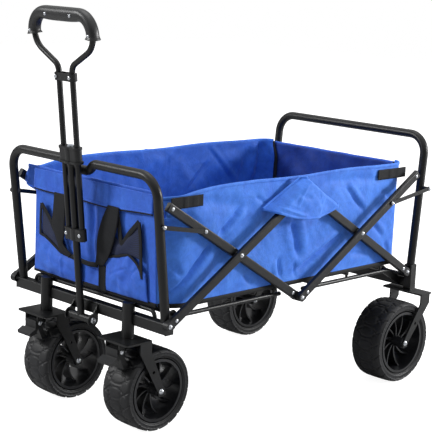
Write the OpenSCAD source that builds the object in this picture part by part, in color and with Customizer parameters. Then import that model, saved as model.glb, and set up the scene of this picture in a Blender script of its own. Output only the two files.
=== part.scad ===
// Folding beach cart: two end frames joined by a double scissor on each side,
// a cloth basket, four wide wheels, front casters with brakes and a sliding handle.
// Millimetres. -X is the front (handle end), +Z is up, the ground is at z = 0.

/* [Scissor frame] */
// Distance between the front and rear lower pivots
pivot_span = 806; // [780:2:840]
// Height of the lower pivots above the ground
pivot_z = 260; // [254:1:266]
// Rise from the lower pivots to the top pivots
scissor_rise = 246; // [236:1:270]
// Height of a bar's section
bar_w = 19.5; // [17:0.5:26]
// Thickness of a bar across the cart
bar_t = 12; // [10:0.5:13]
// Wall of a bar
bar_wall = 1.5; // [1:0.1:2]
// Radius of the scissor pivot pins
pin_r = 4; // [3:0.25:5]
// Gap between the inner and outer bars
layer_gap = 1.6; // [1.2:0.1:2.5]

/* [End frames] */
// Distance between the centres of the two posts of a hoop
post_span = 480; // [460:2:500]
// Outer radius of a hoop's tube
hoop_r = 10; // [8:0.5:11]
// Wall of a hoop's tube
hoop_wall = 1.5; // [1:0.1:2.5]
// Radius of a hoop's corners
hoop_bend = 46; // [35:1:70]
// Height of the front rail above the ground
front_rail_z = 567; // [550:1:590]
// Height of the rear rail above the ground
rear_rail_z = 592; // [575:1:610]
// Lean of the front posts
front_lean = 7; // [4:0.5:9]
// Lean of the rear posts
rear_lean = 4.8; // [3:0.2:8]
// Depth of the dip where the handle rests on the front rail
dip_depth = 17; // [10:1:22]
// Width of that dip
dip_w = 112; // [106:1:130]
// Height of the lower cross beams
beam_h = 25; // [22:1:30]
// Depth of the lower cross beams
beam_d = 22; // [18:1:26]
// Height of the front beam's underside above the ground
front_beam_z = 238; // [234:1:242]

/* [Wheels] */
// Radius of a front wheel
front_wheel_r = 91; // [84:1:95]
// Radius of a rear wheel
rear_wheel_r = 99; // [92:1:104]
// Width of a tyre
tyre_w = 84; // [65:1:86]
// Radius of a wheel's axle bolt
axle_r = 5; // [4:0.25:6]
// Distance across the cart between the caster pivots
caster_span = 277; // [270:1:290]
// Trail of a caster, from its pivot to its axle
caster_trail = 57; // [50:1:62]
// Distance across the cart between the rear wheels' centres
rear_wheel_span = 502; // [496:1:520]
// Distance from the rear lower pivots forward to the rear axles
rear_axle_set = 54; // [45:1:65]
// Radius of a rim as a share of its wheel's radius
rim_share = 0.76; // [0.7:0.01:0.78]
// Number of spokes in a wheel
spokes = 10; // [8:1:12]

/* [Handle] */
// Lean of the handle at rest
handle_lean = 6; // [5.7:0.1:7]
// Height of the handle's pivot above the ground
handle_pivot_z = 226; // [220:1:230]
// Outer radius of the pole
pole_r = 8; // [7:0.25:8.5]
// Outer radius of the sliding tubes
slide_r = 6.25; // [5:0.25:7]
// Distance between the sliding tubes
slide_span = 44; // [40:1:50]
// Length of the pole from its pivot to its cap
pole_l = 377; // [365:1:390]
// Height of the collar at the pole's end
collar_h = 35; // [28:1:42]
// Distance from the pivot to the slider at the sliding tubes' lower end
slider_at = 187; // [160:1:220]
// Distance from the pivot to the upper clamp
clamp_at = 524; // [505:1:540]
// Widest distance between the tube centres of the hand loop
loop_w = 190; // [170:1:210]
// Radius of the hand loop's upper corners
loop_bend = 42; // [35:1:50]
// Outer radius of the moulded grip
grip_r = 12.5; // [10:0.5:15]

/* [Basket] */
// Height of the basket's lower hem above the ground
hem_z = 288; // [284:1:296]
// Height of the basket's upper edge above the ground
basket_top = 529; // [500:1:545]
// Thickness of the basket's cloth and lining
cloth_t = 3; // [2:0.5:4]
// Length of one half of the folding floor
floor_l = 312; // [280:1:314]
// Radius of the floor's rods
rod_r = 5; // [4:0.25:6]
// Thickness of a floor board
board_t = 4; // [3:0.5:6]

/* [Hidden] */
$fn = 48;
fit = 0.05;                 // running clearance of a pin in its bore
seat = 0.3;                 // clearance between neighbours that don't turn on each other
eps = 0.1;                  // overlap that welds two shapes of one piece
lap = 0.3;                  // overlap of a tube's straight lengths and bends
plate_t = 3;                // pressed steel plate
cap_t = 4;                  // cap on a bar's free end
spigot_l = 24;              // length of a plug inside its bar
head_r = pin_r + 1.2;       // pivot rivet's head
head_h = 3;
fix_r = 2;                  // rivets that fix the plugs in the bars
fix_head_r = 4;
fix_head_h = 1.2;           // low enough to pass the neighbouring bar
fix_in = 20;                // from a bar's pivot to its fixing rivet
free_fix_in = 10;           // from a bar's free end to its fixing rivet

half_span = pivot_span / 2;
bar_l = norm([half_span, scissor_rise]);
fold_angle = atan2(scissor_rise, half_span);
post_y = post_span / 2;
outer_bar_y = post_y + hoop_r + plate_t + 2 * seat + bar_t / 2;
inner_bar_y = outer_bar_y - bar_t - layer_gap;
inner_face_y = inner_bar_y - bar_t / 2;
outer_face_y = outer_bar_y + bar_t / 2;

front_beam_x = -half_span + 9;
front_beam_top = front_beam_z + beam_h;
rear_socket_x = half_span + 26;
rear_socket_top = pivot_z + 14;
rear_socket_h = 61;
rear_beam_z = rear_socket_top - rear_socket_h;
rear_beam_h = beam_h - 1;

fork_in = tyre_w / 2 + 3;   // inner face of a fork's arm, from the wheel's centre
arm_t = 3.5;
fork_out = fork_in + arm_t;
caster_y = caster_span / 2;
caster_x = front_beam_x - beam_d / 2 - 1;
front_axle_x = caster_x + caster_trail;
fork_top = 209;             // upper face of a front fork
sleeve_r = 13.5;
sleeve_top = front_beam_top + 23;
stem_r = 7;
rear_axle_x = half_span - rear_axle_set;
rear_axle_y = rear_wheel_span / 2;
pedal_x = -34;              // brake lever's pin, from the caster's pivot
pedal_z = fork_top - 21;
pedal_w = 38;
pedal_pin_r = 3;
pedal_hub_r = 8;
lug_t = 3;                  // lugs that hold the brake lever
handle_pin_r = 5;
pole_wall = 1.5;
button_r = pole_r - pole_wall - fit;
bolt_head_r = 6.5;
bolt_head_h = 4;

handle_pivot_x = front_beam_x - beam_d / 2 - 14;
slide_y = slide_span / 2;
pivot_tube_r = 9;
bracket_in = 37;            // inner face of the handle bracket's cheeks
loop_turn = 60;             // turn of a sliding tube out to the loop
loop_foot_bend = 22;
grip_belly = 3;             // swell of the grip's middle

panel_y = post_y - hoop_r - seat - cloth_t;
side_y = inner_face_y - head_h - 2 * seat - cloth_t;
front_panel_x = -half_span + 18;
rear_panel_x = half_span - 16;
panel_lean = 3.4;
floor_hinge_x = half_span - 53;
floor_hinge_z = pivot_z + 8;
rod_y = side_y - 4;
board_y = panel_y - 8;
lug_y = board_y - 4;

front_reach = -handle_pivot_x + grip_at() * sin(handle_lean) + grip_r + grip_belly;
rear_reach = max(rear_axle_x + rear_wheel_r,
                 rear_socket_x + (rear_rail_z - rear_socket_top) * tan(rear_lean) + hoop_r);
x_shift = (front_reach - rear_reach) / 2;

STEEL = "#17181b";
PLASTIC = "#0d0e10";
SILVER = "#c9ccd1";
RUBBER = "#141517";
RIM = "#1f2124";
CLOTH = "#2f5fc4";
BOARD = "#26303c";

link_z = pivot_z + 206;     // height of the links' pivots on the posts
link_h = 9;                 // height of a link's section
front_link_y = inner_bar_y + bar_t / 2 + 2 * seat;
rear_link_y = outer_face_y + seat;
front_link_x = front_beam_x - (link_z - front_beam_top) * tan(front_lean);
rear_link_x = rear_socket_x + (link_z - rear_socket_top) * tan(rear_lean);
link_end = [half_span * 0.75, pivot_z + scissor_rise * 0.75];

// ---------------------------------------------------------------- shared shapes

// Rectangle with rounded corners, centred
module round_rect(w, h, r) {
    square([w - 2 * r, h], center = true);
    square([w, h - 2 * r], center = true);
    for (sx = [-1, 1], sy = [-1, 1])
        translate([sx * (w / 2 - r), sy * (h / 2 - r)]) circle(r = r);
}

module ring(r, wall) {
    difference() {
        circle(r = r);
        circle(r = r - wall);
    }
}

// Cylinder along Y, centred at y = 0
module y_rod(r, l) {
    rotate([90, 0, 0]) cylinder(r = r, h = l, center = true);
}

// Tube bent in the YZ plane. It starts at the origin along +Z; each step is
// [straight length, turn towards +Y in degrees, radius of the turn]. A bend is drawn a
// hair thicker than the straight lengths, which lap into it.
module bent_tube(steps, r, wall, i = 0) {
    if (i < len(steps)) {
        run = steps[i][0];
        turn = steps[i][1];
        bend = steps[i][2];
        side = turn < 0 ? -1 : 1;
        lap_in = i > 0 ? lap : 0;
        lap_out = turn != 0 ? lap : 0;
        translate([0, 0, -lap_in]) linear_extrude(run + lap_in + lap_out) ring(r, wall);
        translate([0, 0, run]) if (turn != 0) {
            mirror([0, side < 0 ? 1 : 0, 0]) translate([0, bend, 0]) rotate([90, 0, -90])
                rotate_extrude(angle = abs(turn)) translate([bend, 0])
                    ring(r + fit, wall + 2 * fit);
            translate([0, side * bend * (1 - cos(turn)), bend * sin(abs(turn))])
                rotate([-turn, 0, 0]) bent_tube(steps, r, wall, i + 1);
        }
    }
}

// One on each side of the cart; the left side is +Y
module both_sides() {
    children();
    mirror([0, 1, 0]) children();
}

// Domed rivet along +Y from y = 0 to y = l, with a head at each end
module rivet(r, l, head, h) {
    rotate([-90, 0, 0]) {
        cylinder(r = r, h = l);
        translate([0, 0, l]) dome(head, h);
        mirror([0, 0, 1]) dome(head, h);
    }
}

module dome(r, h) {
    ball = (r * r + h * h) / (2 * h);
    rotate_extrude() intersection() {
        translate([0, h - ball]) circle(r = ball);
        square([r, h]);
    }
}

// ---------------------------------------------------------------- end frames

function hoop_steps(post_l) =
    let (rail = post_span - 2 * hoop_bend,
         s_bend = 25,
         dip_turn = acos(1 - dip_depth / (2 * s_bend)),
         s_run = 2 * s_bend * sin(dip_turn) + lap * cos(dip_turn),
         side_run = (rail - dip_w) / 2)
    [[post_l - hoop_bend, 90, hoop_bend],
     [side_run, dip_turn, s_bend], [lap, -dip_turn, s_bend],
     [dip_w - 2 * s_run, -dip_turn, s_bend], [lap, dip_turn, s_bend],
     [side_run, 90, hoop_bend],
     [post_l - hoop_bend, 0, 1]];

// Cuts a leaning hoop's feet level with what they stand on
module level_feet(lean) {
    for (y = [0, post_span]) translate([0, y, 0]) rotate([0, lean, 0])
        translate([-2 * hoop_r, -2 * hoop_r, -4 * hoop_r]) cube(4 * hoop_r);
}

module front_hoop() {
    post_l = (front_rail_z - front_beam_top) / cos(front_lean);
    foot = hoop_r * sin(front_lean) + 1;    // spare length for the level cut
    color(STEEL) translate([front_beam_x, -post_y, front_beam_top])
        rotate([0, -front_lean, 0]) difference() {
            translate([0, 0, -foot]) bent_tube(hoop_steps(post_l + foot), hoop_r, hoop_wall);
            level_feet(front_lean);
        }
}

module rear_hoop() {
    post_l = (rear_rail_z - rear_socket_top) / cos(rear_lean);
    foot = hoop_r * sin(rear_lean) + 1;     // spare length for the level cut
    rail = post_span - 2 * hoop_bend;
    color(STEEL) translate([rear_socket_x, -post_y, rear_socket_top])
        rotate([0, rear_lean, 0]) difference() {
            translate([0, 0, -foot]) bent_tube([[post_l - hoop_bend + foot, 90, hoop_bend],
                [rail, 90, hoop_bend], [post_l - hoop_bend + foot, 0, 1]], hoop_r, hoop_wall);
            level_feet(-rear_lean);
        }
}

// Rectangular tube along Y, centred at y = 0, standing on z = 0
module box_beam(l, d, h, wall) {
    translate([0, l / 2, h / 2]) rotate([90, 0, 0]) linear_extrude(l) difference() {
        round_rect(d, h, 3);
        round_rect(d - 2 * wall, h - 2 * wall, 1.5);
    }
}

module front_beam() {
    end = post_y + hoop_r + seat;
    color(STEEL) {
        difference() {
            translate([front_beam_x, 0, front_beam_z]) box_beam(2 * end, beam_d, beam_h, 2);
            both_sides() translate([caster_x, caster_y, 0])
                cylinder(r = sleeve_r + fit, h = front_beam_top + 1);
        }
        // end plates that carry the lower pivots
        both_sides() difference() {
            translate([front_beam_x, end + plate_t, front_beam_z]) rotate([90, 0, 0])
                linear_extrude(plate_t) {
                    translate([-beam_d / 2, 0]) square([beam_d, beam_h]);
                    translate([-half_span - front_beam_x, pivot_z - front_beam_z])
                        circle(r = bar_w / 2);
                }
            translate([-half_span, end, pivot_z]) y_rod(pin_r + fit, 4 * plate_t);
        }
        mirror([1, 0, 0])
            floor_lugs(beam_d / 2 - front_beam_x - beam_d + eps, front_beam_z + 8,
                       front_beam_top - 3);
    }
}

// Lugs at both sides that carry one half of the floor; beam_face is where they start
module floor_lugs(beam_face, low, high) {
    both_sides() translate([0, lug_y, 0]) rotate([90, 0, 0])
        linear_extrude(plate_t, center = true) difference() {
            union() {
                translate([floor_hinge_x, floor_hinge_z]) circle(r = 9);
                polygon([[beam_face, low], [beam_face, high],
                         [floor_hinge_x, floor_hinge_z + 9], [floor_hinge_x - 6, floor_hinge_z - 6]]);
            }
            translate([floor_hinge_x, floor_hinge_z]) circle(r = rod_r - 0.5 + fit);
        }
}

// Thin rod over the front beam, with its ends turned down to the beam
module front_cross_rod() {
    half = caster_y + 62;
    bend = 14;
    r = rod_r - 0.5;
    color(STEEL) translate([caster_x + sleeve_r + r + seat, -half, front_beam_top])
        bent_tube([[eps, 90, bend], [2 * (half - bend), 90, bend], [eps, 0, 1]], r, 1.5);
}

module caster_sleeves() {
    color(STEEL) both_sides() translate([caster_x, caster_y, 0]) {
        translate([0, 0, fork_top + seat]) difference() {
            cylinder(r = sleeve_r, h = sleeve_top - fork_top - seat);
            translate([0, 0, -1]) cylinder(r = stem_r + fit, h = sleeve_top - fork_top - 3);
        }
    }
}

module handle_bracket() {
    depth = front_beam_x - beam_d / 2 - handle_pivot_x;
    color(STEEL) {
        difference() {
            union() {
                for (side = [-1, 1])
                    translate([handle_pivot_x, side * (bracket_in + plate_t / 2), 0])
                        rotate([90, 0, 0]) linear_extrude(plate_t, center = true) {
                            translate([0, handle_pivot_z]) circle(r = 14);
                            polygon([[0, handle_pivot_z - 14], [depth, handle_pivot_z - 4],
                                     [depth, front_beam_top - 4], [0, handle_pivot_z + 14]]);
                        }
                // back plate on the beam's face
                translate([front_beam_x - beam_d / 2 - plate_t, -bracket_in - plate_t,
                           front_beam_z]) cube([plate_t, 2 * (bracket_in + plate_t), beam_h - 4]);
            }
            translate([handle_pivot_x, 0, handle_pivot_z])
                y_rod(handle_pin_r + fit, 4 * bracket_in);
        }
    }
    color(SILVER) translate([handle_pivot_x, -bracket_in - plate_t, handle_pivot_z])
        rivet(handle_pin_r, 2 * (bracket_in + plate_t), bolt_head_r, bolt_head_h);
}

module rear_beam() {
    color(STEEL) difference() {
        union() {
            // sockets that hold the posts' feet
            both_sides() translate([rear_socket_x, post_y, rear_beam_z])
                linear_extrude(rear_socket_h) round_rect(2 * hoop_r + 4, 2 * hoop_r + 2, 3);
            translate([rear_socket_x, 0, rear_beam_z + 4])
                box_beam(2 * (post_y - hoop_r), beam_d - 4, rear_beam_h, 2);
            // pivot plates inside the lower bars
            both_sides() translate([half_span, inner_face_y - seat, 0]) rotate([90, 0, 0])
                linear_extrude(plate_t) {
                    translate([0, pivot_z]) circle(r = bar_w / 2);
                    translate([0, pivot_z - bar_w / 2])
                        square([rear_socket_x - half_span, bar_w]);
                }
        }
        both_sides() translate([half_span, inner_face_y, pivot_z]) y_rod(pin_r + fit, 4 * plate_t);
    }
    color(STEEL) floor_lugs(rear_socket_x - beam_d / 2 + 2 + eps, rear_beam_z + 6,
                            rear_beam_z + rear_beam_h + 2);
}

module rear_cross_rod() {
    l = 2 * (post_y - hoop_r - 1);
    color(STEEL) translate([half_span + 14, 0, pivot_z - 12])
        rotate([90, 0, 0]) linear_extrude(l, center = true) ring(rod_r, 1.5);
}

// ---------------------------------------------------------------- scissor

// A hollow bar along +X; its pivots are at x = 0, the middle and, unless its far end is
// free, x = bar_l
module bar_tube(free = false) {
    inset = bar_w / 2;
    difference() {
        translate([inset, 0, 0]) rotate([90, 0, 90])
            linear_extrude(bar_l - inset - (free ? cap_t : inset))
            difference() {
                round_rect(bar_t, bar_w, 3);
                round_rect(bar_t - 2 * bar_wall, bar_w - 2 * bar_wall, 1.5);
            }
        translate([bar_l / 2, 0, 0]) y_rod(pin_r + fit, 2 * bar_t);
        for (x = [fix_in, bar_l - (free ? free_fix_in : fix_in)])
            translate([x, bar_t / 2, 0]) y_rod(fix_r + fit, 3 * bar_wall);
    }
}

// Rivet at x that holds a plug in its bar; its head is on the bar's outer face
module fixing_rivet(x) {
    root = bar_t / 2 - bar_wall - eps;
    translate([x, root, 0]) rotate([-90, 0, 0]) {
        translate([0, 0, -eps]) cylinder(r = fix_r, h = bar_t / 2 - root + 2 * eps);
        translate([0, 0, bar_t / 2 - root + fit]) dome(fix_head_r, fix_head_h);
    }
}

module spigot(l) {
    rotate([90, 0, 90]) linear_extrude(l)
        round_rect(bar_t - 2 * bar_wall - 2 * eps, bar_w - 2 * bar_wall - 2 * eps, 1.5);
}

// Moulded end of a bar, round about its pivot
module pivot_plug() {
    difference() {
        union() {
            y_rod(bar_w / 2, bar_t);
            translate([0, -bar_t / 2, -bar_w / 2]) cube([bar_w / 2, bar_t, bar_w]);
            spigot(bar_w / 2 + spigot_l);
        }
        y_rod(pin_r + fit, 2 * bar_t);
    }
    fixing_rivet(fix_in);
}

// Plugs that close both ends of a bar: a pivot at each end, or a plain cap on a free end
module bar_plugs(free = false) {
    pivot_plug();
    translate([bar_l, 0, 0]) mirror([1, 0, 0])
        if (free) {
            rotate([90, 0, 90]) linear_extrude(cap_t) round_rect(bar_t, bar_w, 3);
            spigot(cap_t + spigot_l);
            fixing_rivet(free_fix_in);
        } else pivot_plug();
}

// Places a bar whose lower pivot is at x; toward is the sign of its rise along X
module bar_place(x, toward, y) {
    both_sides() translate([x, y, pivot_z])
        mirror([toward < 0 ? 1 : 0, 0, 0]) rotate([0, -fold_angle, 0]) children();
}

module front_lower_bars() { color(STEEL) bar_place(-half_span, 1, outer_bar_y) bar_tube(); }
module front_upper_bars() { color(STEEL) bar_place(0, -1, inner_bar_y) bar_tube(true); }
module rear_upper_bars() { color(STEEL) bar_place(0, 1, outer_bar_y) bar_tube(true); }
module rear_lower_bars() { color(STEEL) bar_place(half_span, -1, inner_bar_y) bar_tube(); }
module front_lower_plugs() { color(PLASTIC) bar_place(-half_span, 1, outer_bar_y) bar_plugs(); }
module front_upper_plugs() { color(PLASTIC) bar_place(0, -1, inner_bar_y) bar_plugs(true); }
module rear_upper_plugs() { color(PLASTIC) bar_place(0, 1, outer_bar_y) bar_plugs(true); }
module rear_lower_plugs() { color(PLASTIC) bar_place(half_span, -1, inner_bar_y) bar_plugs(); }

// Pin through both bars with a washer between them
module cross_pin() {
    both_sides() translate([0, inner_face_y, 0]) {
        rivet(pin_r, outer_face_y - inner_face_y, head_r, head_h);
        translate([0, bar_t + seat / 2, 0]) rotate([-90, 0, 0])
            cylinder(r = 2 * pin_r, h = layer_gap - seat);
    }
}

module front_pins() {
    root = post_y + hoop_r + 2 * seat;
    color(SILVER) {
        translate([-half_span / 2, 0, pivot_z + scissor_rise / 2]) cross_pin();
        // the lower pins stand in the beam's end plates
        both_sides() translate([-half_span, root, pivot_z]) rotate([-90, 0, 0]) {
            cylinder(r = pin_r, h = outer_face_y - root);
            translate([0, 0, outer_face_y - root]) dome(head_r, head_h);
        }
    }
}

module top_pins() { color(SILVER) translate([0, 0, pivot_z + scissor_rise]) cross_pin(); }

module rear_pins() {
    color(SILVER) {
        translate([half_span / 2, 0, pivot_z + scissor_rise / 2]) cross_pin();
        both_sides() translate([half_span, inner_face_y - seat - plate_t, pivot_z])
            rivet(pin_r, bar_t + seat + plate_t, head_r, head_h);
    }
}

module bottom_bolts() { color(SILVER) translate([0, 0, pivot_z]) cross_pin(); }

// Flat link along +X with a rivet at each end
module link(l) {
    rotate([-90, 0, 0]) linear_extrude(plate_t) {
        translate([0, -link_h / 2]) square([l, link_h]);
        for (x = [0, l]) translate([x, 0]) circle(r = link_h / 2 + 1);
    }
    for (x = [0, l]) translate([x, plate_t, 0]) rotate([-90, 0, 0]) dome(head_r - 1, head_h);
}

// Links from the posts to the upper bars; x is a link's pivot on its post
module side_links(x, y, toward) {
    run = abs(x) - link_end[0];
    drop = link_z - link_end[1];
    color(STEEL) both_sides() translate([x, y, link_z])
        mirror([toward < 0 ? 1 : 0, 0, 0]) rotate([0, atan2(drop, run), 0]) link(norm([run, drop]));
    // spacers on the posts
    color(SILVER) both_sides() translate([x, post_y + hoop_r + seat, link_z]) rotate([-90, 0, 0])
        cylinder(r = pin_r, h = y - post_y - hoop_r - seat + eps);
}

module front_links() { side_links(front_link_x, front_link_y, 1); }
module rear_links() { side_links(rear_link_x, rear_link_y, -1); }

// ---------------------------------------------------------------- floor

// Half of the floor's frame, hinged at x = -floor_hinge_x; a ladder of thin rods
module floor_frame() {
    rise = hem_z - cloth_t - seat - (rod_r - 1) - floor_hinge_z;
    rungs = [30, floor_l / 2, floor_l - 20];
    color(STEEL) translate([-floor_hinge_x, 0, floor_hinge_z]) {
        both_sides() translate([0, rod_y, 0]) {
            rotate([0, 90, 0]) cylinder(r = rod_r, h = floor_l);
            for (x = rungs) translate([x, 0, 0]) cylinder(r = rod_r - 2, h = rise);
        }
        y_rod(rod_r - 0.5, 2 * rod_y);
        for (x = rungs) translate([x, 0, rise]) y_rod(rod_r - 1, 2 * rod_y + 2 * rod_r - 2);
    }
}

module floor_board() {
    start = 12;
    color(BOARD) translate([start - floor_hinge_x, 0, hem_z + seat]) linear_extrude(board_t)
        translate([(floor_l - start) / 2, 0]) round_rect(floor_l - start, 2 * board_y, 12);
}

module front_floor_frame() { floor_frame(); }
module rear_floor_frame() { mirror([1, 0, 0]) floor_frame(); }
module front_floor_board() { floor_board(); }
module rear_floor_board() { mirror([1, 0, 0]) floor_board(); }

// ---------------------------------------------------------------- handle

// Frame of the handle: its pivot is the origin and the pole runs along +Z
module on_handle() {
    translate([handle_pivot_x, 0, handle_pivot_z]) rotate([0, -handle_lean, 0]) children();
}

module handle_pole() {
    cross_l = 2 * (bracket_in - seat);
    color(STEEL) on_handle() difference() {
        union() {
            difference() {
                cylinder(r = pole_r, h = pole_l);
                translate([0, 0, -1]) cylinder(r = pole_r - pole_wall, h = pole_l + 2);
            }
            y_rod(pivot_tube_r, cross_l);
        }
        y_rod(handle_pin_r + fit, cross_l + 2);
    }
}

// Outline of the collar seen along the pole: three sleeves joined by webs
module sleeve_outline(wall, bores) {
    difference() {
        union() {
            square([2 * (slide_r + wall), slide_span], center = true);
            for (y = [-slide_y, slide_y]) translate([0, y]) circle(r = slide_r + wall);
            circle(r = pole_r + wall + 1);
        }
        if (bores) {
            for (y = [-slide_y, slide_y]) translate([0, y]) circle(r = slide_r + fit);
            circle(r = pole_r + fit);
        }
    }
}

// Collar fixed on the pole's end; the sliding tubes run through it
module handle_collar() {
    lip = 5;
    color(PLASTIC) on_handle() translate([0, 0, pole_l - collar_h]) {
        linear_extrude(collar_h) sleeve_outline(3.5, true);
        linear_extrude(lip) sleeve_outline(6, true);
        translate([0, 0, collar_h - lip]) linear_extrude(lip) sleeve_outline(5, true);
    }
}

module lock_button() {
    color("#8b9096") on_handle() translate([0, 0, pole_l - 6]) {
        cylinder(r = button_r, h = 9);
        translate([0, 0, 9]) dome(button_r, 2);
    }
}

function loop_steps() =
    let (foot_run = loop_top_at() - slider_at,
         out = loop_w / 2 - slide_y - (loop_foot_bend + loop_bend) * (1 - cos(loop_turn)),
         slant = out / sin(loop_turn),
         top = loop_w - 2 * loop_bend)
    [[foot_run, -loop_turn, loop_foot_bend], [slant, loop_turn + 90, loop_bend],
     [top, loop_turn + 90, loop_bend], [slant, -loop_turn, loop_foot_bend],
     [foot_run, 0, 1]];

// Distance from the pivot to where the sliding tubes turn out to the loop
function loop_top_at() = clamp_at + 10;

module sliding_tubes() {
    color(STEEL) on_handle() translate([0, -slide_y, slider_at])
        bent_tube(loop_steps(), slide_r, 1.2);
}

// Height of the grip's middle above the pivot
function grip_at() =
    let (s = loop_steps(), slant = s[1][0])
    loop_top_at() + (loop_foot_bend + loop_bend) * sin(loop_turn)
        + slant * cos(loop_turn) + loop_bend;

// Moulded grip wrapped round the top of the loop, thicker in the middle
module handle_grip() {
    over = 6;               // how far the grip runs past each side's upright, in degrees
    top = loop_w - 2 * loop_bend;
    color(PLASTIC) on_handle() translate([0, 0, grip_at() - loop_bend]) {
        translate([0, -top / 2 - loop_bend * cos(over), -loop_bend * sin(over)])
            rotate([over, 0, 0])
                bent_tube([[0, 90 + over, loop_bend], [top, 90 + over, loop_bend]],
                          grip_r, grip_r - slide_r - seat - fit);
        translate([0, 0, loop_bend]) rotate([90, 0, 0]) rotate_extrude()
            polygon([[grip_r - 1, -top / 2], [grip_r - 0.5, -top / 2],
                     [grip_r + grip_belly, -top / 6], [grip_r + grip_belly, top / 6],
                     [grip_r - 0.5, top / 2], [grip_r - 1, top / 2]]);
    }
}

// Bracket that holds the two sliding tubes together below the loop
module handle_clamp() {
    color(PLASTIC) on_handle() translate([0, 0, clamp_at - 8]) difference() {
        linear_extrude(16) difference() {
            union() {
                square([2 * slide_r + 5, slide_span], center = true);
                for (y = [-slide_y, slide_y]) translate([0, y]) circle(r = slide_r + 3.5);
            }
            for (y = [-slide_y, slide_y]) translate([0, y]) circle(r = slide_r + fit);
        }
        translate([0, 0, 8]) cube([2 * slide_r + 1, slide_span - 2 * slide_r - 6, 20], center = true);
    }
    color(SILVER) on_handle() for (y = [-slide_y, slide_y])
        translate([-slide_r - 3.5, y, clamp_at]) rotate([0, -90, 0]) dome(4, 2);
}

// Slider at the tubes' lower end; it runs on the pole
module handle_slider() {
    h = 26;
    color(PLASTIC) on_handle() translate([0, 0, slider_at - h / 2]) {
        difference() {
            linear_extrude(h) sleeve_outline(3, false);
            translate([0, 0, -1]) cylinder(r = pole_r + fit, h = h + 2);
            for (y = [-slide_y, slide_y]) translate([0, y, h / 2])
                cylinder(r = slide_r + fit, h = h);
        }
    }
    color(SILVER) on_handle() for (y = [-slide_y, slide_y])
        translate([-slide_r - 3, y, slider_at]) rotate([0, -90, 0]) dome(4, 2);
}

// ---------------------------------------------------------------- casters and wheels

// Side of a fork: a flat arm from its top at z = top, between from and to, down to the
// axle at [reach, axle_z]
module fork_arm(from, to, top, reach, axle_z) {
    foot = 10;              // half of the foot's width
    shoulder = 24;          // height of the straight part below the plate
    sink = 7;               // from the axle to the foot's end
    hole = [(from + to) / 4 + reach / 2, (top - shoulder + axle_z) / 2];
    rotate([90, 0, 0]) linear_extrude(arm_t, center = true) difference() {
        polygon([[from, top], [to, top], [to, top - shoulder], [reach + foot, axle_z],
                 [reach + sink, axle_z - foot], [reach - sink, axle_z - foot],
                 [reach - foot, axle_z], [from, top - shoulder]]);
        translate(hole) circle(r = axle_r - 1.5);
        translate([reach, axle_z]) circle(r = axle_r + fit);
    }
}

// Caster fork around its own pivot at x = 0, y = 0
module caster_fork() {
    front = -44;
    back = 28;
    lug_y0 = pedal_w / 2 + seat + lug_t / 2;
    difference() {
        union() {
            translate([(front + back) / 2, 0, fork_top - 4]) linear_extrude(4)
                round_rect(back - front, 2 * fork_out, 5);
            for (side = [-1, 1]) translate([0, side * (fork_in + arm_t / 2), 0])
                fork_arm(-6, back - 2, fork_top - 1, caster_trail, front_wheel_r);
            for (side = [-1, 1]) translate([0, side * lug_y0, 0]) rotate([90, 0, 0])
                linear_extrude(lug_t, center = true) {
                    translate([pedal_x, pedal_z]) circle(r = pedal_hub_r);
                    translate([pedal_x - pedal_hub_r, pedal_z])
                        square([2 * pedal_hub_r, fork_top - 2 - pedal_z]);
                }
        }
        translate([pedal_x, 0, pedal_z]) y_rod(pedal_pin_r + fit, 2 * pedal_w);
    }
    // stem that turns in the sleeve
    translate([0, 0, fork_top - 2]) cylinder(r = stem_r, h = sleeve_top - fork_top - 3);
}

// Foot lever of a caster's brake, with a shoe that reaches to the tyre
module brake_pedal() {
    flare = 8;              // extra width of the foot
    pin_l = pedal_w + 2 * (seat + lug_t);
    gap_to_tyre = 1;        // between the shoe and the tyre when the lever is down
    press = 15;
    axle = [caster_trail - pedal_x, front_wheel_r - pedal_z];
    reach = norm(axle) - front_wheel_r - gap_to_tyre;
    aim = atan2(axle[1], axle[0]) - press;
    color(PLASTIC) translate([pedal_x, 0, pedal_z]) difference() {
        union() {
            y_rod(pedal_hub_r, pedal_w);
            rotate([90, 0, 0]) linear_extrude(pedal_w, center = true) {
                polygon([[-pedal_hub_r - 2, 6], [-pedal_hub_r - 2, -12], [-16, -17],
                         [-9, -23], [2, -pedal_hub_r + 1], [0, pedal_hub_r - 1]]);
                polygon([[-6, -5], [6, -5], reach * [cos(aim + 2), sin(aim + 2)],
                         reach * [cos(aim - 16), sin(aim - 16)]]);
            }
            rotate([90, 0, 0]) linear_extrude(pedal_w + flare, center = true)
                polygon([[-14, -12], [-29, -20], [-27, -27], [-8, -22]]);
        }
        y_rod(pedal_pin_r + fit, pedal_w + 2);
    }
    color(SILVER) translate([pedal_x, -pin_l / 2, pedal_z]) rivet(pedal_pin_r, pin_l, 5, 2);
}

// Axle bolt with domed heads outside the fork's arms
module axle_bolt() {
    translate([0, -fork_out, 0]) rivet(axle_r, 2 * fork_out, bolt_head_r, bolt_head_h);
}

// Wide tyre around Y, with ribs between its grooves
module tyre(r) {
    rim = rim_share * r;
    shoulder = 8;           // radius of the tyre's corners
    groove = 4;
    color(RUBBER) rotate([90, 0, 0]) rotate_extrude($fn = 96) difference() {
        translate([(r + rim) / 2, 0]) round_rect(r - rim, tyre_w, shoulder);
        for (z = [-0.24, 0, 0.24] * tyre_w) translate([r - 3, z - groove / 2])
            square([groove, groove]);
    }
}

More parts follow.
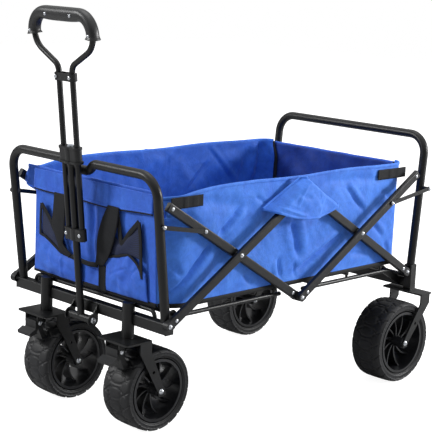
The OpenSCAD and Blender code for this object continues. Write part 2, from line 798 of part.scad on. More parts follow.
// Moulded wheel: hub, thin curved spokes and a deep rim
module rim(r) {
    out = rim_share * r - fit;
    hub = 13;
    wall = 6;
    blade = 3.5;
    curve = out * 0.8;
    color(RIM) rotate([90, 0, 0]) {
        difference() {
            union() {
                rotate_extrude($fn = 96) translate([out - wall, 3 - tyre_w / 2])
                    square([wall, tyre_w - 6]);
                cylinder(r = hub, h = 2 * (fork_in - seat), center = true);
            }
            cylinder(r = axle_r + fit, h = 4 * fork_in, center = true);
        }
        linear_extrude(tyre_w * 0.4, center = true) intersection() {
            difference() {
                circle(r = out - wall + eps);
                circle(r = hub - eps);
            }
            for (k = [0 : spokes - 1]) rotate([0, 0, k * 360 / spokes])
                intersection() {
                    translate([0, curve]) ring(curve + blade / 2, blade);
                    translate([0, -blade]) square([out, out]);
                }
        }
    }
}

module caster_at(side) { translate([caster_x, side * caster_y, 0]) children(); }
module front_wheel_at(side) { translate([front_axle_x, side * caster_y, front_wheel_r]) children(); }
module rear_wheel_at(side) { translate([rear_axle_x, side * rear_axle_y, rear_wheel_r]) children(); }

module caster_fork_left() { color(STEEL) caster_at(1) caster_fork(); }
module caster_fork_right() { color(STEEL) caster_at(-1) caster_fork(); }
module brake_pedal_left() { caster_at(1) brake_pedal(); }
module brake_pedal_right() { caster_at(-1) brake_pedal(); }
module front_axle_left() { color(SILVER) front_wheel_at(1) axle_bolt(); }
module front_axle_right() { color(SILVER) front_wheel_at(-1) axle_bolt(); }
module front_tyre_left() { front_wheel_at(1) tyre(front_wheel_r); }
module front_tyre_right() { front_wheel_at(-1) tyre(front_wheel_r); }
module front_rim_left() { front_wheel_at(1) rim(front_wheel_r); }
module front_rim_right() { front_wheel_at(-1) rim(front_wheel_r); }
module rear_tyre_left() { rear_wheel_at(1) tyre(rear_wheel_r); }
module rear_tyre_right() { rear_wheel_at(-1) tyre(rear_wheel_r); }
module rear_rim_left() { rear_wheel_at(1) rim(rear_wheel_r); }
module rear_rim_right() { rear_wheel_at(-1) rim(rear_wheel_r); }

// Fixed forks under the rear posts' sockets; a fork's plate runs on under the beam
module rear_forks() {
    front = rear_socket_x - 30;
    back = rear_socket_x + 14;
    inner = rear_axle_y - fork_out - 22;
    outer = rear_axle_y + fork_out;
    color(STEEL) for (side = [-1, 1]) {
        translate([(front + back) / 2, side * (inner + outer) / 2, rear_beam_z - 4])
            linear_extrude(4) round_rect(back - front, outer - inner, 4);
        for (arm = [-1, 1])
            translate([0, side * rear_axle_y + arm * (fork_in + arm_t / 2), 0])
                fork_arm(front + 2, back - 8, rear_beam_z - 1, rear_axle_x, rear_wheel_r);
    }
}

module rear_axles() { color(SILVER) for (side = [-1, 1]) rear_wheel_at(side) axle_bolt(); }

// ---------------------------------------------------------------- basket

// End wall of the basket between two posts, leaning outwards
module end_panel(x) {
    color(CLOTH) translate([x, -panel_y, hem_z - cloth_t]) rotate([0, -panel_lean, 0])
        cube([cloth_t, 2 * panel_y, (basket_top - hem_z + cloth_t) / cos(panel_lean)]);
}

module side_panel(side) {
    color(CLOTH) mirror([0, side < 0 ? 1 : 0, 0])
        translate([front_panel_x + 4, side_y, hem_z - cloth_t])
            cube([rear_panel_x - front_panel_x - 8, cloth_t, basket_top - hem_z + cloth_t]);
}

module basket_front() { end_panel(front_panel_x); }
module basket_rear() { mirror([1, 0, 0]) end_panel(-rear_panel_x); }
module basket_side_left() { side_panel(1); }
module basket_side_right() { side_panel(-1); }
module basket_floor() {
    inset = cloth_t + seat;
    color(CLOTH) translate([front_panel_x + inset, -side_y + seat, hem_z - cloth_t])
        cube([rear_panel_x - front_panel_x - 2 * inset, 2 * (side_y - seat), cloth_t]);
}

// The origin lies on the ground, in the middle of the cart's overall length
module placed() { translate([x_shift, 0, 0]) children(); }

placed() front_hoop();
placed() front_beam();
placed() front_cross_rod();
placed() caster_sleeves();
placed() handle_bracket();
placed() rear_hoop();
placed() rear_beam();
placed() rear_cross_rod();
placed() rear_forks();
placed() rear_axles();
placed() front_lower_bars();
placed() front_upper_bars();
placed() rear_lower_bars();
placed() rear_upper_bars();
placed() front_lower_plugs();
placed() front_upper_plugs();
placed() rear_lower_plugs();
placed() rear_upper_plugs();
placed() front_pins();
placed() top_pins();
placed() rear_pins();
placed() bottom_bolts();
placed() front_links();
placed() rear_links();
placed() front_floor_frame();
placed() rear_floor_frame();
placed() front_floor_board();
placed() rear_floor_board();
placed() handle_pole();
placed() handle_collar();
placed() lock_button();
placed() sliding_tubes();
placed() handle_grip();
placed() handle_clamp();
placed() handle_slider();
placed() caster_fork_left();
placed() caster_fork_right();
placed() brake_pedal_left();
placed() brake_pedal_right();
placed() front_axle_left();
placed() front_axle_right();
placed() front_tyre_left();
placed() front_tyre_right();
placed() front_rim_left();
placed() front_rim_right();
placed() rear_tyre_left();
placed() rear_tyre_right();
placed() rear_rim_left();
placed() rear_rim_right();
placed() basket_front();
placed() basket_rear();
placed() basket_side_left();
placed() basket_side_right();
placed() basket_floor();
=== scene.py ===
"""Looks of a folding beach cart: cloth basket, scissor frame, pull handle and wide wheels."""

import logging
import math
from dataclasses import dataclass, field
from enum import Enum
from typing import Sequence

import bpy
import numpy as np
from mathutils import Matrix


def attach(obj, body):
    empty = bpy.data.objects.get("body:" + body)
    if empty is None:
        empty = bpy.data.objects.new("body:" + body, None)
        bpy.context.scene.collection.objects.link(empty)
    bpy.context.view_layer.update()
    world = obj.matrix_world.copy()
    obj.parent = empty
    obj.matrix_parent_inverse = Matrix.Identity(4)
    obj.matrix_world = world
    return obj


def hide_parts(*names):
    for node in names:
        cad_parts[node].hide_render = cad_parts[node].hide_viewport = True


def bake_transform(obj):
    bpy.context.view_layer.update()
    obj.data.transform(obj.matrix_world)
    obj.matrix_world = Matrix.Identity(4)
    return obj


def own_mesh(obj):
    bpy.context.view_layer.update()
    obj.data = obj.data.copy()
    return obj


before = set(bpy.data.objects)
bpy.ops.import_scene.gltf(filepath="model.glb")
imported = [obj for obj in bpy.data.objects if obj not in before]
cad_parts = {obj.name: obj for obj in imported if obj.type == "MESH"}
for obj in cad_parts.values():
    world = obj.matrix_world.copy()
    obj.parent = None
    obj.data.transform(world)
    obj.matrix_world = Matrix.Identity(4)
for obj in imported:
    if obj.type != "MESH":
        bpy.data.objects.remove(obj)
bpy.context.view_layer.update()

log = logging.getLogger("beach_cart")

Piece = bpy.types.Object
Socket = bpy.types.NodeSocket
Rgba = tuple[float, float, float, float]
Point = tuple[float, float, float]
Curve = Sequence[tuple[float, float]]
Tint = Socket | Rgba | str
Inputs = dict[str, Socket | float]

MM = 0.001
CART_SHIFT = 18.64  # the scissor frame's middle lies this far behind the model's origin, mm
SEED = 11
SIDES = ((-1, "right"), (1, "left"))
AHEAD, ACROSS, UP = (1, 0, 0), (0, 1, 0), (0, 0, 1)


class Held(Enum):
    """How a sheet of cloth or webbing is held."""

    STRETCHED = "stretched"
    LAID = "laid"


# ---------------- colours and nodes


def colour(code: str) -> Rgba:
    """Turns an sRGB hex colour to linear RGBA.

    Args:
        code: colour as "#rrggbb".

    Returns:
        Linear red, green, blue and an alpha of 1.
    """
    srgb = np.array([int(code[i : i + 2], 16) for i in (1, 3, 5)]) / 255
    linear = np.where(srgb <= 0.04045, srgb / 12.92, ((srgb + 0.055) / 1.055) ** 2.4)
    return (*(float(c) for c in linear), 1.0)


def per_metre(size_mm: float) -> float:
    """Scale of a texture whose grains are size_mm across, on coordinates in metres."""
    return 1000 / size_mm


class Wiring:
    """A material's or the world's node tree, with a short call for each pattern."""

    def __init__(self, owner: bpy.types.Material | bpy.types.World) -> None:
        """Empties the owner's tree."""
        owner.use_nodes = True
        self.tree = owner.node_tree
        self.tree.nodes.clear()

    def add(self, kind: str, settings: dict | None = None) -> bpy.types.Node:
        """Adds a node.

        Args:
            kind: node type without the "ShaderNode" in front.
            settings: properties by name, and inputs by name or number; an input gets a
                value or the socket that feeds it.

        Returns:
            The new node.
        """
        made = self.tree.nodes.new("ShaderNode" + kind)
        for name, value in (settings or {}).items():
            if isinstance(value, Socket):
                self.tree.links.new(value, made.inputs[name])
            elif isinstance(name, str) and hasattr(made, name):
                setattr(made, name, value)
            else:
                made.inputs[name].default_value = value
        return made

    def place(self, kind: str = "Object") -> Socket:
        """Coordinates of the object, of the cloth's own lay ("UV") or of the room ("Generated")."""
        return self.add("TexCoord").outputs[kind]

    def noise(self, size_mm: float, detail: float, **more: float | str) -> Socket:
        """Noise with grains of size_mm; more settings of the node go by their own names."""
        settings = {"Scale": per_metre(size_mm), "Detail": detail, "Vector": self.place(), **more}
        return self.add("TexNoise", settings).outputs["Fac"]

    def bands(self, direction: str, spacing_mm: float) -> Socket:
        """Bands spacing_mm apart across the cloth's X or Y."""
        scale = math.pi / 10 / (spacing_mm * MM)
        settings = {"bands_direction": direction, "Scale": scale, "Vector": self.place("UV")}
        return self.add("TexWave", settings).outputs["Fac"]

    def combine(self, operation: str, one: Socket, other: Socket) -> Socket:
        """Combines two values."""
        return self.add("Math", {"operation": operation, 0: one, 1: other}).outputs[0]

    def remap(
        self, value: Socket, start: Sequence[float] = (0, 1), end: Sequence[float] = (0, 1)
    ) -> Socket:
        """Carries a value from the range `start` to the range `end`."""
        names = ("From Min", "From Max", "To Min", "To Max")
        settings = dict(zip(names, (*start, *end)))
        return self.add("MapRange", {**settings, "Value": value}).outputs[0]

    def mix(self, share: Socket | float, low: Tint, high: Tint, blend: str = "MIX") -> Socket:
        """Mixes two colours by a share; a colour is a socket, linear RGBA or a hex code."""
        low, high = (colour(c) if isinstance(c, str) else c for c in (low, high))
        settings = {"data_type": "RGBA", "blend_type": blend, 0: share, 6: low, 7: high}
        return self.add("Mix", settings).outputs[2]

    def bump(
        self, height: Socket, depth_mm: float, strength: float, under: Socket | None = None
    ) -> Socket:
        """A normal from a height of depth_mm, on top of another normal where there is one."""
        settings = {"Strength": strength, "Distance": depth_mm * MM, "Height": height}
        if under is not None:
            settings["Normal"] = under
        return self.add("Bump", settings).outputs[0]


# ---------------- finishes


@dataclass(frozen=True)
class Finish:
    """A surface finish; each kind gives its own shader inputs."""

    name: str

    def material(self) -> bpy.types.Material:
        """Returns the finish's material, made once."""
        made = bpy.data.materials.get(self.name)
        if made is None:
            made = bpy.data.materials.new(self.name)
            nodes = Wiring(made)
            shader = nodes.add("BsdfPrincipled", self.inputs(nodes))
            nodes.add("OutputMaterial", {"Surface": shader.outputs[0]})
        return made

    def inputs(self, nodes: Wiring) -> Inputs:
        """The shader's inputs by name: a value, or the socket that feeds it."""
        raise NotImplementedError


@dataclass(frozen=True)
class PowderCoat(Finish):
    """Powder coat baked on steel tube: satin black, with a faint orange peel and dust on it."""

    base: str = "#08090a"
    worn: str = "#121315"
    roughness: float = 0.38
    shine: float = 0.34
    peel_mm: float = 1.4

    def inputs(self, nodes: Wiring) -> Inputs:
        """Orange peel from fine noise; broad noise lightens the coat a little."""
        broad = nodes.noise(45, 4.0, Roughness=0.6)
        return {
            "Base Color": nodes.mix(nodes.remap(broad, (0.45, 0.8)), self.base, self.worn),
            "Roughness": nodes.remap(broad, end=(self.roughness - 0.06, self.roughness + 0.1)),
            "Specular IOR Level": self.shine,
            "Normal": nodes.bump(nodes.noise(self.peel_mm, 2.0), 0.05, 0.6),
        }


@dataclass(frozen=True)
class MouldedPlastic(Finish):
    """Injection-moulded ABS or nylon: dark, spark-eroded grain, dull sheen."""

    base: str = "#08090b"
    roughness: float = 0.5
    shine: float = 0.4
    grain_mm: float = 0.9

    def inputs(self, nodes: Wiring) -> Inputs:
        """Grain from fine noise; colour and roughness drift with broad noise."""
        broad = nodes.noise(30, 3.0)
        base = colour(self.base)
        lighter = tuple(min(1.0, c * 1.7 + 0.002) for c in base[:3]) + (1.0,)
        return {
            "Base Color": nodes.mix(broad, base, lighter),
            "Roughness": nodes.remap(broad, end=(self.roughness - 0.08, self.roughness + 0.08)),
            "Specular IOR Level": self.shine,
            "Normal": nodes.bump(nodes.noise(self.grain_mm, 3.0), 0.08, 0.5),
        }


@dataclass(frozen=True)
class ZincPlate(Finish):
    """Zinc-plated steel rivets and bolts: bright, slightly brushed."""

    base: str = "#d3d6da"
    dull: str = "#a9adb3"
    roughness: float = 0.26

    def inputs(self, nodes: Wiring) -> Inputs:
        """Metal whose colour, roughness and height drift with one noise."""
        broad = nodes.noise(4, 4.0)
        return {
            "Metallic": 1.0,
            "Base Color": nodes.mix(broad, self.base, self.dull),
            "Roughness": nodes.remap(broad, end=(self.roughness - 0.08, self.roughness + 0.12)),
            "Normal": nodes.bump(broad, 0.03, 0.4),
        }


@dataclass(frozen=True)
class TyreRubber(Finish):
    """Black tyre rubber from a sand-blasted mould: matt, a little dusty."""

    base: str = "#090a0d"
    dust: str = "#15161a"

    def inputs(self, nodes: Wiring) -> Inputs:
        """Dust in broad patches; pores as bump."""
        dusty = nodes.remap(nodes.noise(60, 5.0, Roughness=0.65), (0.4, 0.75))
        return {
            "Base Color": nodes.mix(dusty, self.base, self.dust),
            "Roughness": 0.5,
            "Specular IOR Level": 0.4,
            "Normal": nodes.bump(nodes.noise(1.6, 4.0), 0.15, 0.6),
        }


@dataclass(frozen=True)
class WovenPolyester(Finish):
    """Coated Oxford polyester: plain weave, soft sheen, handling creases."""

    base: str = "#3f6cd0"
    # painted shade: the colour in the hollows of the broad creases
    shade: str = "#3159b8"
    thread_mm: float = 1.6  # real threads are 0.6 mm; drawn coarser so that they show
    crease_mm: float = 0.9

    def inputs(self, nodes: Wiring) -> Inputs:
        """Two crossed bands are the weave; three noises make the small creases; the weave and the
        broad creases also darken the colour in their hollows as painted shade.
        """
        weave = nodes.combine("MULTIPLY", *(nodes.bands(way, self.thread_mm) for way in "XY"))
        crumple = nodes.noise(70, 6.0, Roughness=0.55, Distortion=0.8)
        fine = nodes.noise(13, 5.0, Roughness=0.6, Distortion=0.5)
        kind = "RIDGED_MULTIFRACTAL"
        ridged = nodes.noise(120, 3.0, noise_type=kind, Roughness=0.4, Lacunarity=2.2)
        # painted shade: the colour falls to `shade` where the crumple noise, which also bumps the
        # broad creases, is low
        tint = nodes.mix(nodes.remap(crumple, (0.3, 0.72)), self.shade, self.base)
        # painted shade between the threads: the colour darkens where the weave's bands are low
        tint = nodes.mix(1.0, tint, nodes.remap(weave, end=(0.88, 1.06)), "MULTIPLY")
        tint = nodes.mix(1.0, tint, nodes.remap(fine, (0.3, 0.7), (0.86, 1.08)), "MULTIPLY")
        normal = nodes.bump(crumple, self.crease_mm * 4, 0.9)
        normal = nodes.bump(ridged, self.crease_mm * 1.5, 0.35, normal)
        normal = nodes.bump(fine, self.crease_mm * 1.2, 0.6, normal)
        return {
            "Base Color": tint,
            "Roughness": 0.62,
            "Sheen Weight": 0.1,
            "Sheen Roughness": 0.4,
            "Specular IOR Level": 0.2,
            "Normal": nodes.bump(weave, 0.12, 0.35, normal),
        }


@dataclass(frozen=True)
class Webbing(Finish):
    """Black polypropylene webbing: ribs along its length, dull."""

    base: str = "#0c0d10"
    # the ribs' tops, lighter than the grooves: painted light
    light: str = "#222429"
    rib_mm: float = 3.0

    def inputs(self, nodes: Wiring) -> Inputs:
        """Ribs and picks from two bands; the colour is darker in the grooves, as painted shade."""
        picks = nodes.bands("Y", self.rib_mm * 0.6)
        both = nodes.combine("MULTIPLY", nodes.bands("X", self.rib_mm), picks)
        return {
            "Base Color": nodes.mix(both, self.base, self.light),
            "Roughness": 0.75,
            "Specular IOR Level": 0.25,
            "Normal": nodes.bump(both, 0.4, 0.7),
        }


@dataclass(frozen=True)
class MeshNet(Finish):
    """Knitted polyester net over cloth: black threads, the cloth's blue in the holes, painted
    darker than the cloth as the net's shade.
    """

    thread: str = "#07080c"
    # the cloth seen through the holes, painted much darker than the cloth: painted shade under the
    # net
    hole: str = "#14244f"
    cell_mm: float = 3.2  # real holes are 2 mm; drawn coarser so that they show

    def inputs(self, nodes: Wiring) -> Inputs:
        """Cell edges are the threads."""
        settings = {"feature": "DISTANCE_TO_EDGE", "Scale": per_metre(self.cell_mm)}
        settings |= {"Randomness": 0.15, "Vector": nodes.place("UV")}
        cells = nodes.add("TexVoronoi", settings).outputs["Distance"]
        return {
            "Base Color": nodes.mix(nodes.remap(cells, (0.08, 0.2)), self.thread, self.hole),
            "Roughness": 0.8,
            "Normal": nodes.bump(cells, -0.25, 0.5),
        }


POWDER = PowderCoat("powder_coated_steel")
BAR_COAT = PowderCoat("powder_coated_bar", "#0c0d0f", "#17181a", 0.34)
PLASTIC = MouldedPlastic("moulded_black_plastic")
GRIP_PLASTIC = MouldedPlastic("grip_plastic", "#0a0b0d", 0.42, 0.5, 1.3)
WHEEL_PLASTIC = MouldedPlastic("moulded_wheel_plastic", "#0d0e11", 0.34, 0.5)
BUTTON_PLASTIC = MouldedPlastic("grey_button_plastic", "#84898f", 0.38)
ZINC = ZincPlate("zinc_plated_steel")
RUBBER = TyreRubber("tyre_rubber")
# Copies of one Oxford cloth: the ends and the lining are painted darker than the sides, mostly as
# painted shade for the less light that falls on them; the rear lining's copy is darker still, all
# painted shade.
SIDE_CLOTH = WovenPolyester("oxford_cloth_outside", "#4b86ea", "#3a6fd4")
END_CLOTH = WovenPolyester("oxford_cloth_ends", "#3b6bd2", "#2f58c0")
INNER_CLOTH = WovenPolyester("oxford_cloth_lining", "#3068ce", "#2657b4")
SHADED_REAR_LINING = WovenPolyester("oxford_cloth_rear_lining_shaded", "#173b8e", "#102c74")
FLOOR_CLOTH = WovenPolyester("floor_mat_cloth", "#28303c", "#1c222b")
BINDING = WovenPolyester("black_binding", "#0d0f13", "#08090c", crease_mm=0.4)
WEBBING = Webbing("black_webbing")
NET = MeshNet("pocket_net")


# ---------------- curves


def smooth_step(x: np.ndarray, low: float, high: float) -> np.ndarray:
    """0 below low, 1 above high, with a smooth rise between."""
    t = np.clip((x - low) / (high - low), 0, 1)
    return t * t * (3 - 2 * t)


def bell(distance: np.ndarray, width: float, power: int = 2) -> np.ndarray:
    """1 at no distance, falling to nothing past the width; flatter with a higher power."""
    return np.exp(-((distance / width) ** power))


def full_turn(count: int) -> np.ndarray:
    """Angles evenly round a circle."""
    return np.linspace(0, 2 * np.pi, count, endpoint=False)


def rounded(turn: np.ndarray, power: float) -> tuple[np.ndarray, np.ndarray]:
    """Round a section |a|^power + |b|^power = 1, its a and b at each angle."""
    c, s = np.cos(turn), np.sin(turn)
    return np.sign(c) * np.abs(c) ** (2 / power), np.sign(s) * np.abs(s) ** (2 / power)


def evenly(points: np.ndarray | Curve, count: int) -> np.ndarray:
    """Points evenly spaced by length along straight pieces."""
    p = np.array(points, dtype=float)
    run = np.concatenate([[0], np.linalg.norm(np.diff(p, axis=0), axis=1).cumsum()])
    even = np.linspace(0, run[-1], count)
    return np.stack([np.interp(even, run, column) for column in p.T], axis=1)


def curve_through(points: Curve, count: int) -> np.ndarray:
    """Smooth plane curve through points, evenly spaced by length (Catmull-Rom pieces)."""
    p = np.array(points, dtype=float)
    p = np.vstack([2 * p[0] - p[1], p, 2 * p[-1] - p[-2]])
    t = np.linspace(0, 1, 24, endpoint=False)[None, :, None]
    a, b, c, d = (p[i : len(p) - 3 + i][:, None, :] for i in range(4))
    bend = (2 * a - 5 * b + 4 * c - d) * t**2
    dense = 0.5 * (2 * b + (c - a) * t + bend + (3 * b - a - 3 * c + d) * t**3)
    return evenly(np.vstack([dense.reshape(-1, 2), p[-2]]), count)


def between(one: Curve, other: Curve, along: int, across: int) -> np.ndarray:
    """Flat grid from one smooth curve to another: across x along x 2."""
    share = np.linspace(0, 1, across)[:, None, None]
    return curve_through(one, along)[None] * (1 - share) + curve_through(other, along)[None] * share


def rumple(a: np.ndarray, b: np.ndarray, seed: int, size: float, height: float) -> np.ndarray:
    """Soft unevenness: slanted sine waves of about the given size with fixed random phases."""
    waves = 9
    rng = np.random.default_rng(SEED + seed)
    angle, phase = rng.uniform(0, np.pi, waves), rng.uniform(0, 2 * np.pi, waves)
    length = size * rng.uniform(0.6, 1.6, waves)
    total = sum(
        np.sin(2 * np.pi * (a * np.cos(t) + b * np.sin(t)) / w + p)
        for t, p, w in zip(angle, phase, length)
    )
    return height * total / math.sqrt(waves)


@dataclass(frozen=True)
class Fold:
    """A crease in a sheet: a ridge between two points (a, b) of the sheet's own plane; mm."""

    from_a: float
    from_b: float
    to_a: float
    to_b: float
    width: float
    height: float

    def raise_at(self, a: np.ndarray, b: np.ndarray) -> np.ndarray:
        """Height of the ridge at (a, b): a bell across the line that fades at both ends."""
        run_a, run_b = self.to_a - self.from_a, self.to_b - self.from_b
        length = np.linalg.norm([run_a, run_b])
        t = ((a - self.from_a) * run_a + (b - self.from_b) * run_b) / length**2
        away = (a - self.from_a) * run_b / length - (b - self.from_b) * run_a / length
        ends = smooth_step(t, -0.12, 0.18) * (1 - smooth_step(t, 0.75, 1.1))
        return self.height * ends * bell(away, self.width)


# ---------------- meshes


def to_model(points: np.ndarray | Point) -> np.ndarray:
    """Moves points in mm from the scissor frame's middle to the model's frame in metres."""
    return np.asarray(points, dtype=float) * MM + np.array([CART_SHIFT * MM, 0.0, 0.0])


def in_scene(made: Piece) -> Piece:
    """Links an object to the scene."""
    bpy.context.scene.collection.objects.link(made)
    return made


def make_piece(
    name: str, points: np.ndarray, faces: np.ndarray, finish: Finish, uv: np.ndarray | None = None
) -> Piece:
    """Puts a smooth mesh in the scene.

    Args:
        name: piece name.
        points: vertices in mm, in any grid of x, y, z.
        faces: M x 4 vertex numbers.
        finish: its finish.
        uv: lay of the cloth at each vertex in metres, or None.

    Returns:
        The new object.
    """
    mesh = bpy.data.meshes.new(name)
    mesh.from_pydata(to_model(points.reshape(-1, 3)).tolist(), [], faces.tolist())
    if uv is not None:
        layer = mesh.uv_layers.new(name="lay")
        corners = np.empty(len(mesh.loops), dtype=np.int32)
        mesh.loops.foreach_get("vertex_index", corners)
        layer.data.foreach_set("uv", uv.reshape(-1, 2)[corners].astype(np.float32).ravel())
    mesh.materials.append(finish.material())
    mesh.polygons.foreach_set("use_smooth", np.full(len(mesh.polygons), True))
    mesh.update()
    return in_scene(bpy.data.objects.new(name, mesh))


def grid_of(*parts: np.ndarray) -> np.ndarray:
    """Stacks coordinates, each a row, a column or a whole grid, to a grid of points."""
    return np.stack(np.broadcast_arrays(*parts), axis=-1)


def grid_faces(
    rows: int, columns: int, wrap_rows: bool = False, wrap_columns: bool = False
) -> np.ndarray:
    """Quads of a rows x columns grid, joined end to end where it wraps."""
    r = np.arange(rows if wrap_rows else rows - 1)[:, None]
    c = np.arange(columns if wrap_columns else columns - 1)[None, :]
    r2, c2 = (r + 1) % rows, (c + 1) % columns
    corners = [r * columns + c, r2 * columns + c, r2 * columns + c2, r * columns + c2]
    return np.stack(corners, axis=-1).reshape(-1, 4)


def steps(points: np.ndarray, axis: int) -> np.ndarray:
    """Distances between neighbours along an axis of a grid."""
    return np.linalg.norm(np.diff(points, axis=axis), axis=2)


def lay_of(points: np.ndarray) -> np.ndarray:
    """Cloth coordinates in metres: running length along a grid's rows and columns."""
    v = np.vstack([np.zeros((1, points.shape[1])), steps(points, 0).cumsum(axis=0)])
    u = np.hstack([np.zeros((points.shape[0], 1)), steps(points, 1).cumsum(axis=1)])
    return grid_of(u.mean(axis=0)[None, :], v.mean(axis=1)[:, None]) * MM


def select_only(*pieces: Piece) -> None:
    """Selects these pieces alone and makes the first one active."""
    for other in bpy.context.selected_objects:
        other.select_set(False)
    for piece in pieces:
        piece.select_set(True)
    bpy.context.view_layer.objects.active = pieces[0]


def sheet_piece(
    name: str,
    points: np.ndarray,
    finish: Finish,
    thick: float,
    outwards: bool = True,
) -> Piece:
    """A sheet of cloth or webbing from a grid of points, given a thickness.

    Args:
        name: piece name.
        points: rows x columns x 3 grid, mm.
        finish: its finish.
        thick: thickness, mm.
        outwards: whether the grid's normals already point out; otherwise faces are turned.

    Returns:
        The new object, with its thickness applied.
    """
    faces = grid_faces(*points.shape[:2])
    made = make_piece(name, points, faces if outwards else faces[:, ::-1], finish, lay_of(points))
    solid = made.modifiers.new("thickness", "SOLIDIFY")
    solid.thickness = thick * MM
    solid.offset = 0
    select_only(made)
    bpy.ops.object.modifier_apply(modifier=solid.name)
    made.select_set(False)
    return made


def tube_piece(
    name: str,
    path: np.ndarray,
    finish: Finish,
    half_across: float | np.ndarray,
    half_up: float | np.ndarray,
    side: Sequence[float],
    sides: int = 12,
    power: float = 3.0,
) -> Piece:
    """A closed bar whose rounded section is carried along a path.

    The section is |a/half_across|^power + |b/half_up|^power = 1, with a along `side` and b
    along path direction x side; both ends are closed by shrinking the last rings to a point.

    Args:
        name: piece name.
        path: N x 3 points, mm.
        finish: its finish.
        half_across: half size along `side`, one value or one per point, mm.
        half_up: half size across it, mm.
        side: direction that stays across the path.
        sides: points round the section.
        power: 2 for an ellipse, more for a squarer section.

    Returns:
        The new object.
    """
    across = np.asarray(side, dtype=float)
    ahead = np.gradient(path, axis=0)
    ahead /= np.linalg.norm(ahead, axis=1, keepdims=True)
    a = across[None, :] - ahead * (ahead @ across)[:, None]
    a /= np.linalg.norm(a, axis=1, keepdims=True)
    b = np.cross(ahead, a)
    ca, sb = (part[None, :, None] for part in rounded(full_turn(sides), power))
    ha, hb = (np.broadcast_to(h, len(path))[:, None, None] for h in (half_across, half_up))
    rings = path[:, None, :] + ha * ca * a[:, None, :] + hb * sb * b[:, None, :]
    closing = np.array([0.02, 0.7])[:, None, None]
    first = path[0] + (rings[0] - path[0]) * closing
    last = path[-1] + (rings[-1] - path[-1]) * closing[::-1]
    rings = np.concatenate([first, rings, last])
    faces = grid_faces(len(rings), sides, wrap_columns=True)
    return make_piece(name, rings, faces, finish, lay_of(rings))


def dome(
    name: str, at: np.ndarray | Point, axis: Sequence[float], radius: float, height: float
) -> Piece:
    """A zinc rivet head: a flattened quarter ellipse revolved and closed at its pole."""
    sides = 24
    t = np.linspace(0, np.pi / 2, 9)[:, None, None]
    axis_v = np.asarray(axis, dtype=float) / np.linalg.norm(axis)
    across = np.cross(axis_v, [0.31, 0.27, 0.91])  # any direction but the axis will do
    across /= np.linalg.norm(across)
    turn = full_turn(sides)[:, None]
    ring = np.cos(turn) * across + np.sin(turn) * np.cross(axis_v, across)
    reach = np.maximum(radius * np.cos(t) ** 0.8, 0.02)
    points = np.asarray(at) + reach * ring + height * np.sin(t) * axis_v
    return make_piece(name, points, grid_faces(len(t), sides, wrap_columns=True)[:, ::-1], ZINC)


def fasten(name: str, heads: Sequence[Piece], body: str) -> None:
    """Joins rivet heads into one piece on a body."""
    select_only(*heads)
    bpy.ops.object.join()
    heads[0].name = name
    heads[0].select_set(False)
    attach(heads[0], body)


# ---------------- camera and room


def facing(at: np.ndarray | Point, back: np.ndarray, lean: float = 0.0) -> Matrix:
    """Matrix of a camera or a lamp.

    Args:
        at: its place, m.
        back: unit vector away from what it looks at.
        lean: turn about that vector, radians.

    Returns:
        The object's matrix.
    """
    right = np.cross([0, 0, 1], back)
    right /= np.linalg.norm(right)
    up = np.cross(back, right)
    across = right * np.cos(lean) + up * np.sin(lean)
    turned = np.eye(4)
    turned[:3, :3] = np.column_stack([across, up * np.cos(lean) - right * np.sin(lean), back])
    turned[:3, 3] = at
    return Matrix(turned.tolist())


@dataclass
class Viewpoint:
    """The camera: where it stands, where it looks and how far it leans; mm and degrees."""

    stands_at: Point = (-2222.0, -2189.9, 1011.7)
    azimuth: float = -45.181
    elevation: float = 11.089
    lean: float = 2.346
    focal_px: float = 1349.6  # for a picture 433 px high
    picture_px: float = 433
    sensor: float = 36

    def place(self) -> None:
        """Makes the camera and gives it to the scene."""
        a, e, r = np.radians([self.azimuth, self.elevation, self.lean])
        back = np.array([np.sin(a) * np.cos(e), -np.cos(a) * np.cos(e), np.sin(e)])
        data = bpy.data.cameras.new("camera")
        data.sensor_width = self.sensor
        data.lens = self.focal_px / self.picture_px * self.sensor
        data.clip_end = 50
        made = in_scene(bpy.data.objects.new("camera", data))
        made.matrix_world = facing(to_model(self.stands_at), back, r)
        bpy.context.scene.camera = made
        log.info("camera placed")


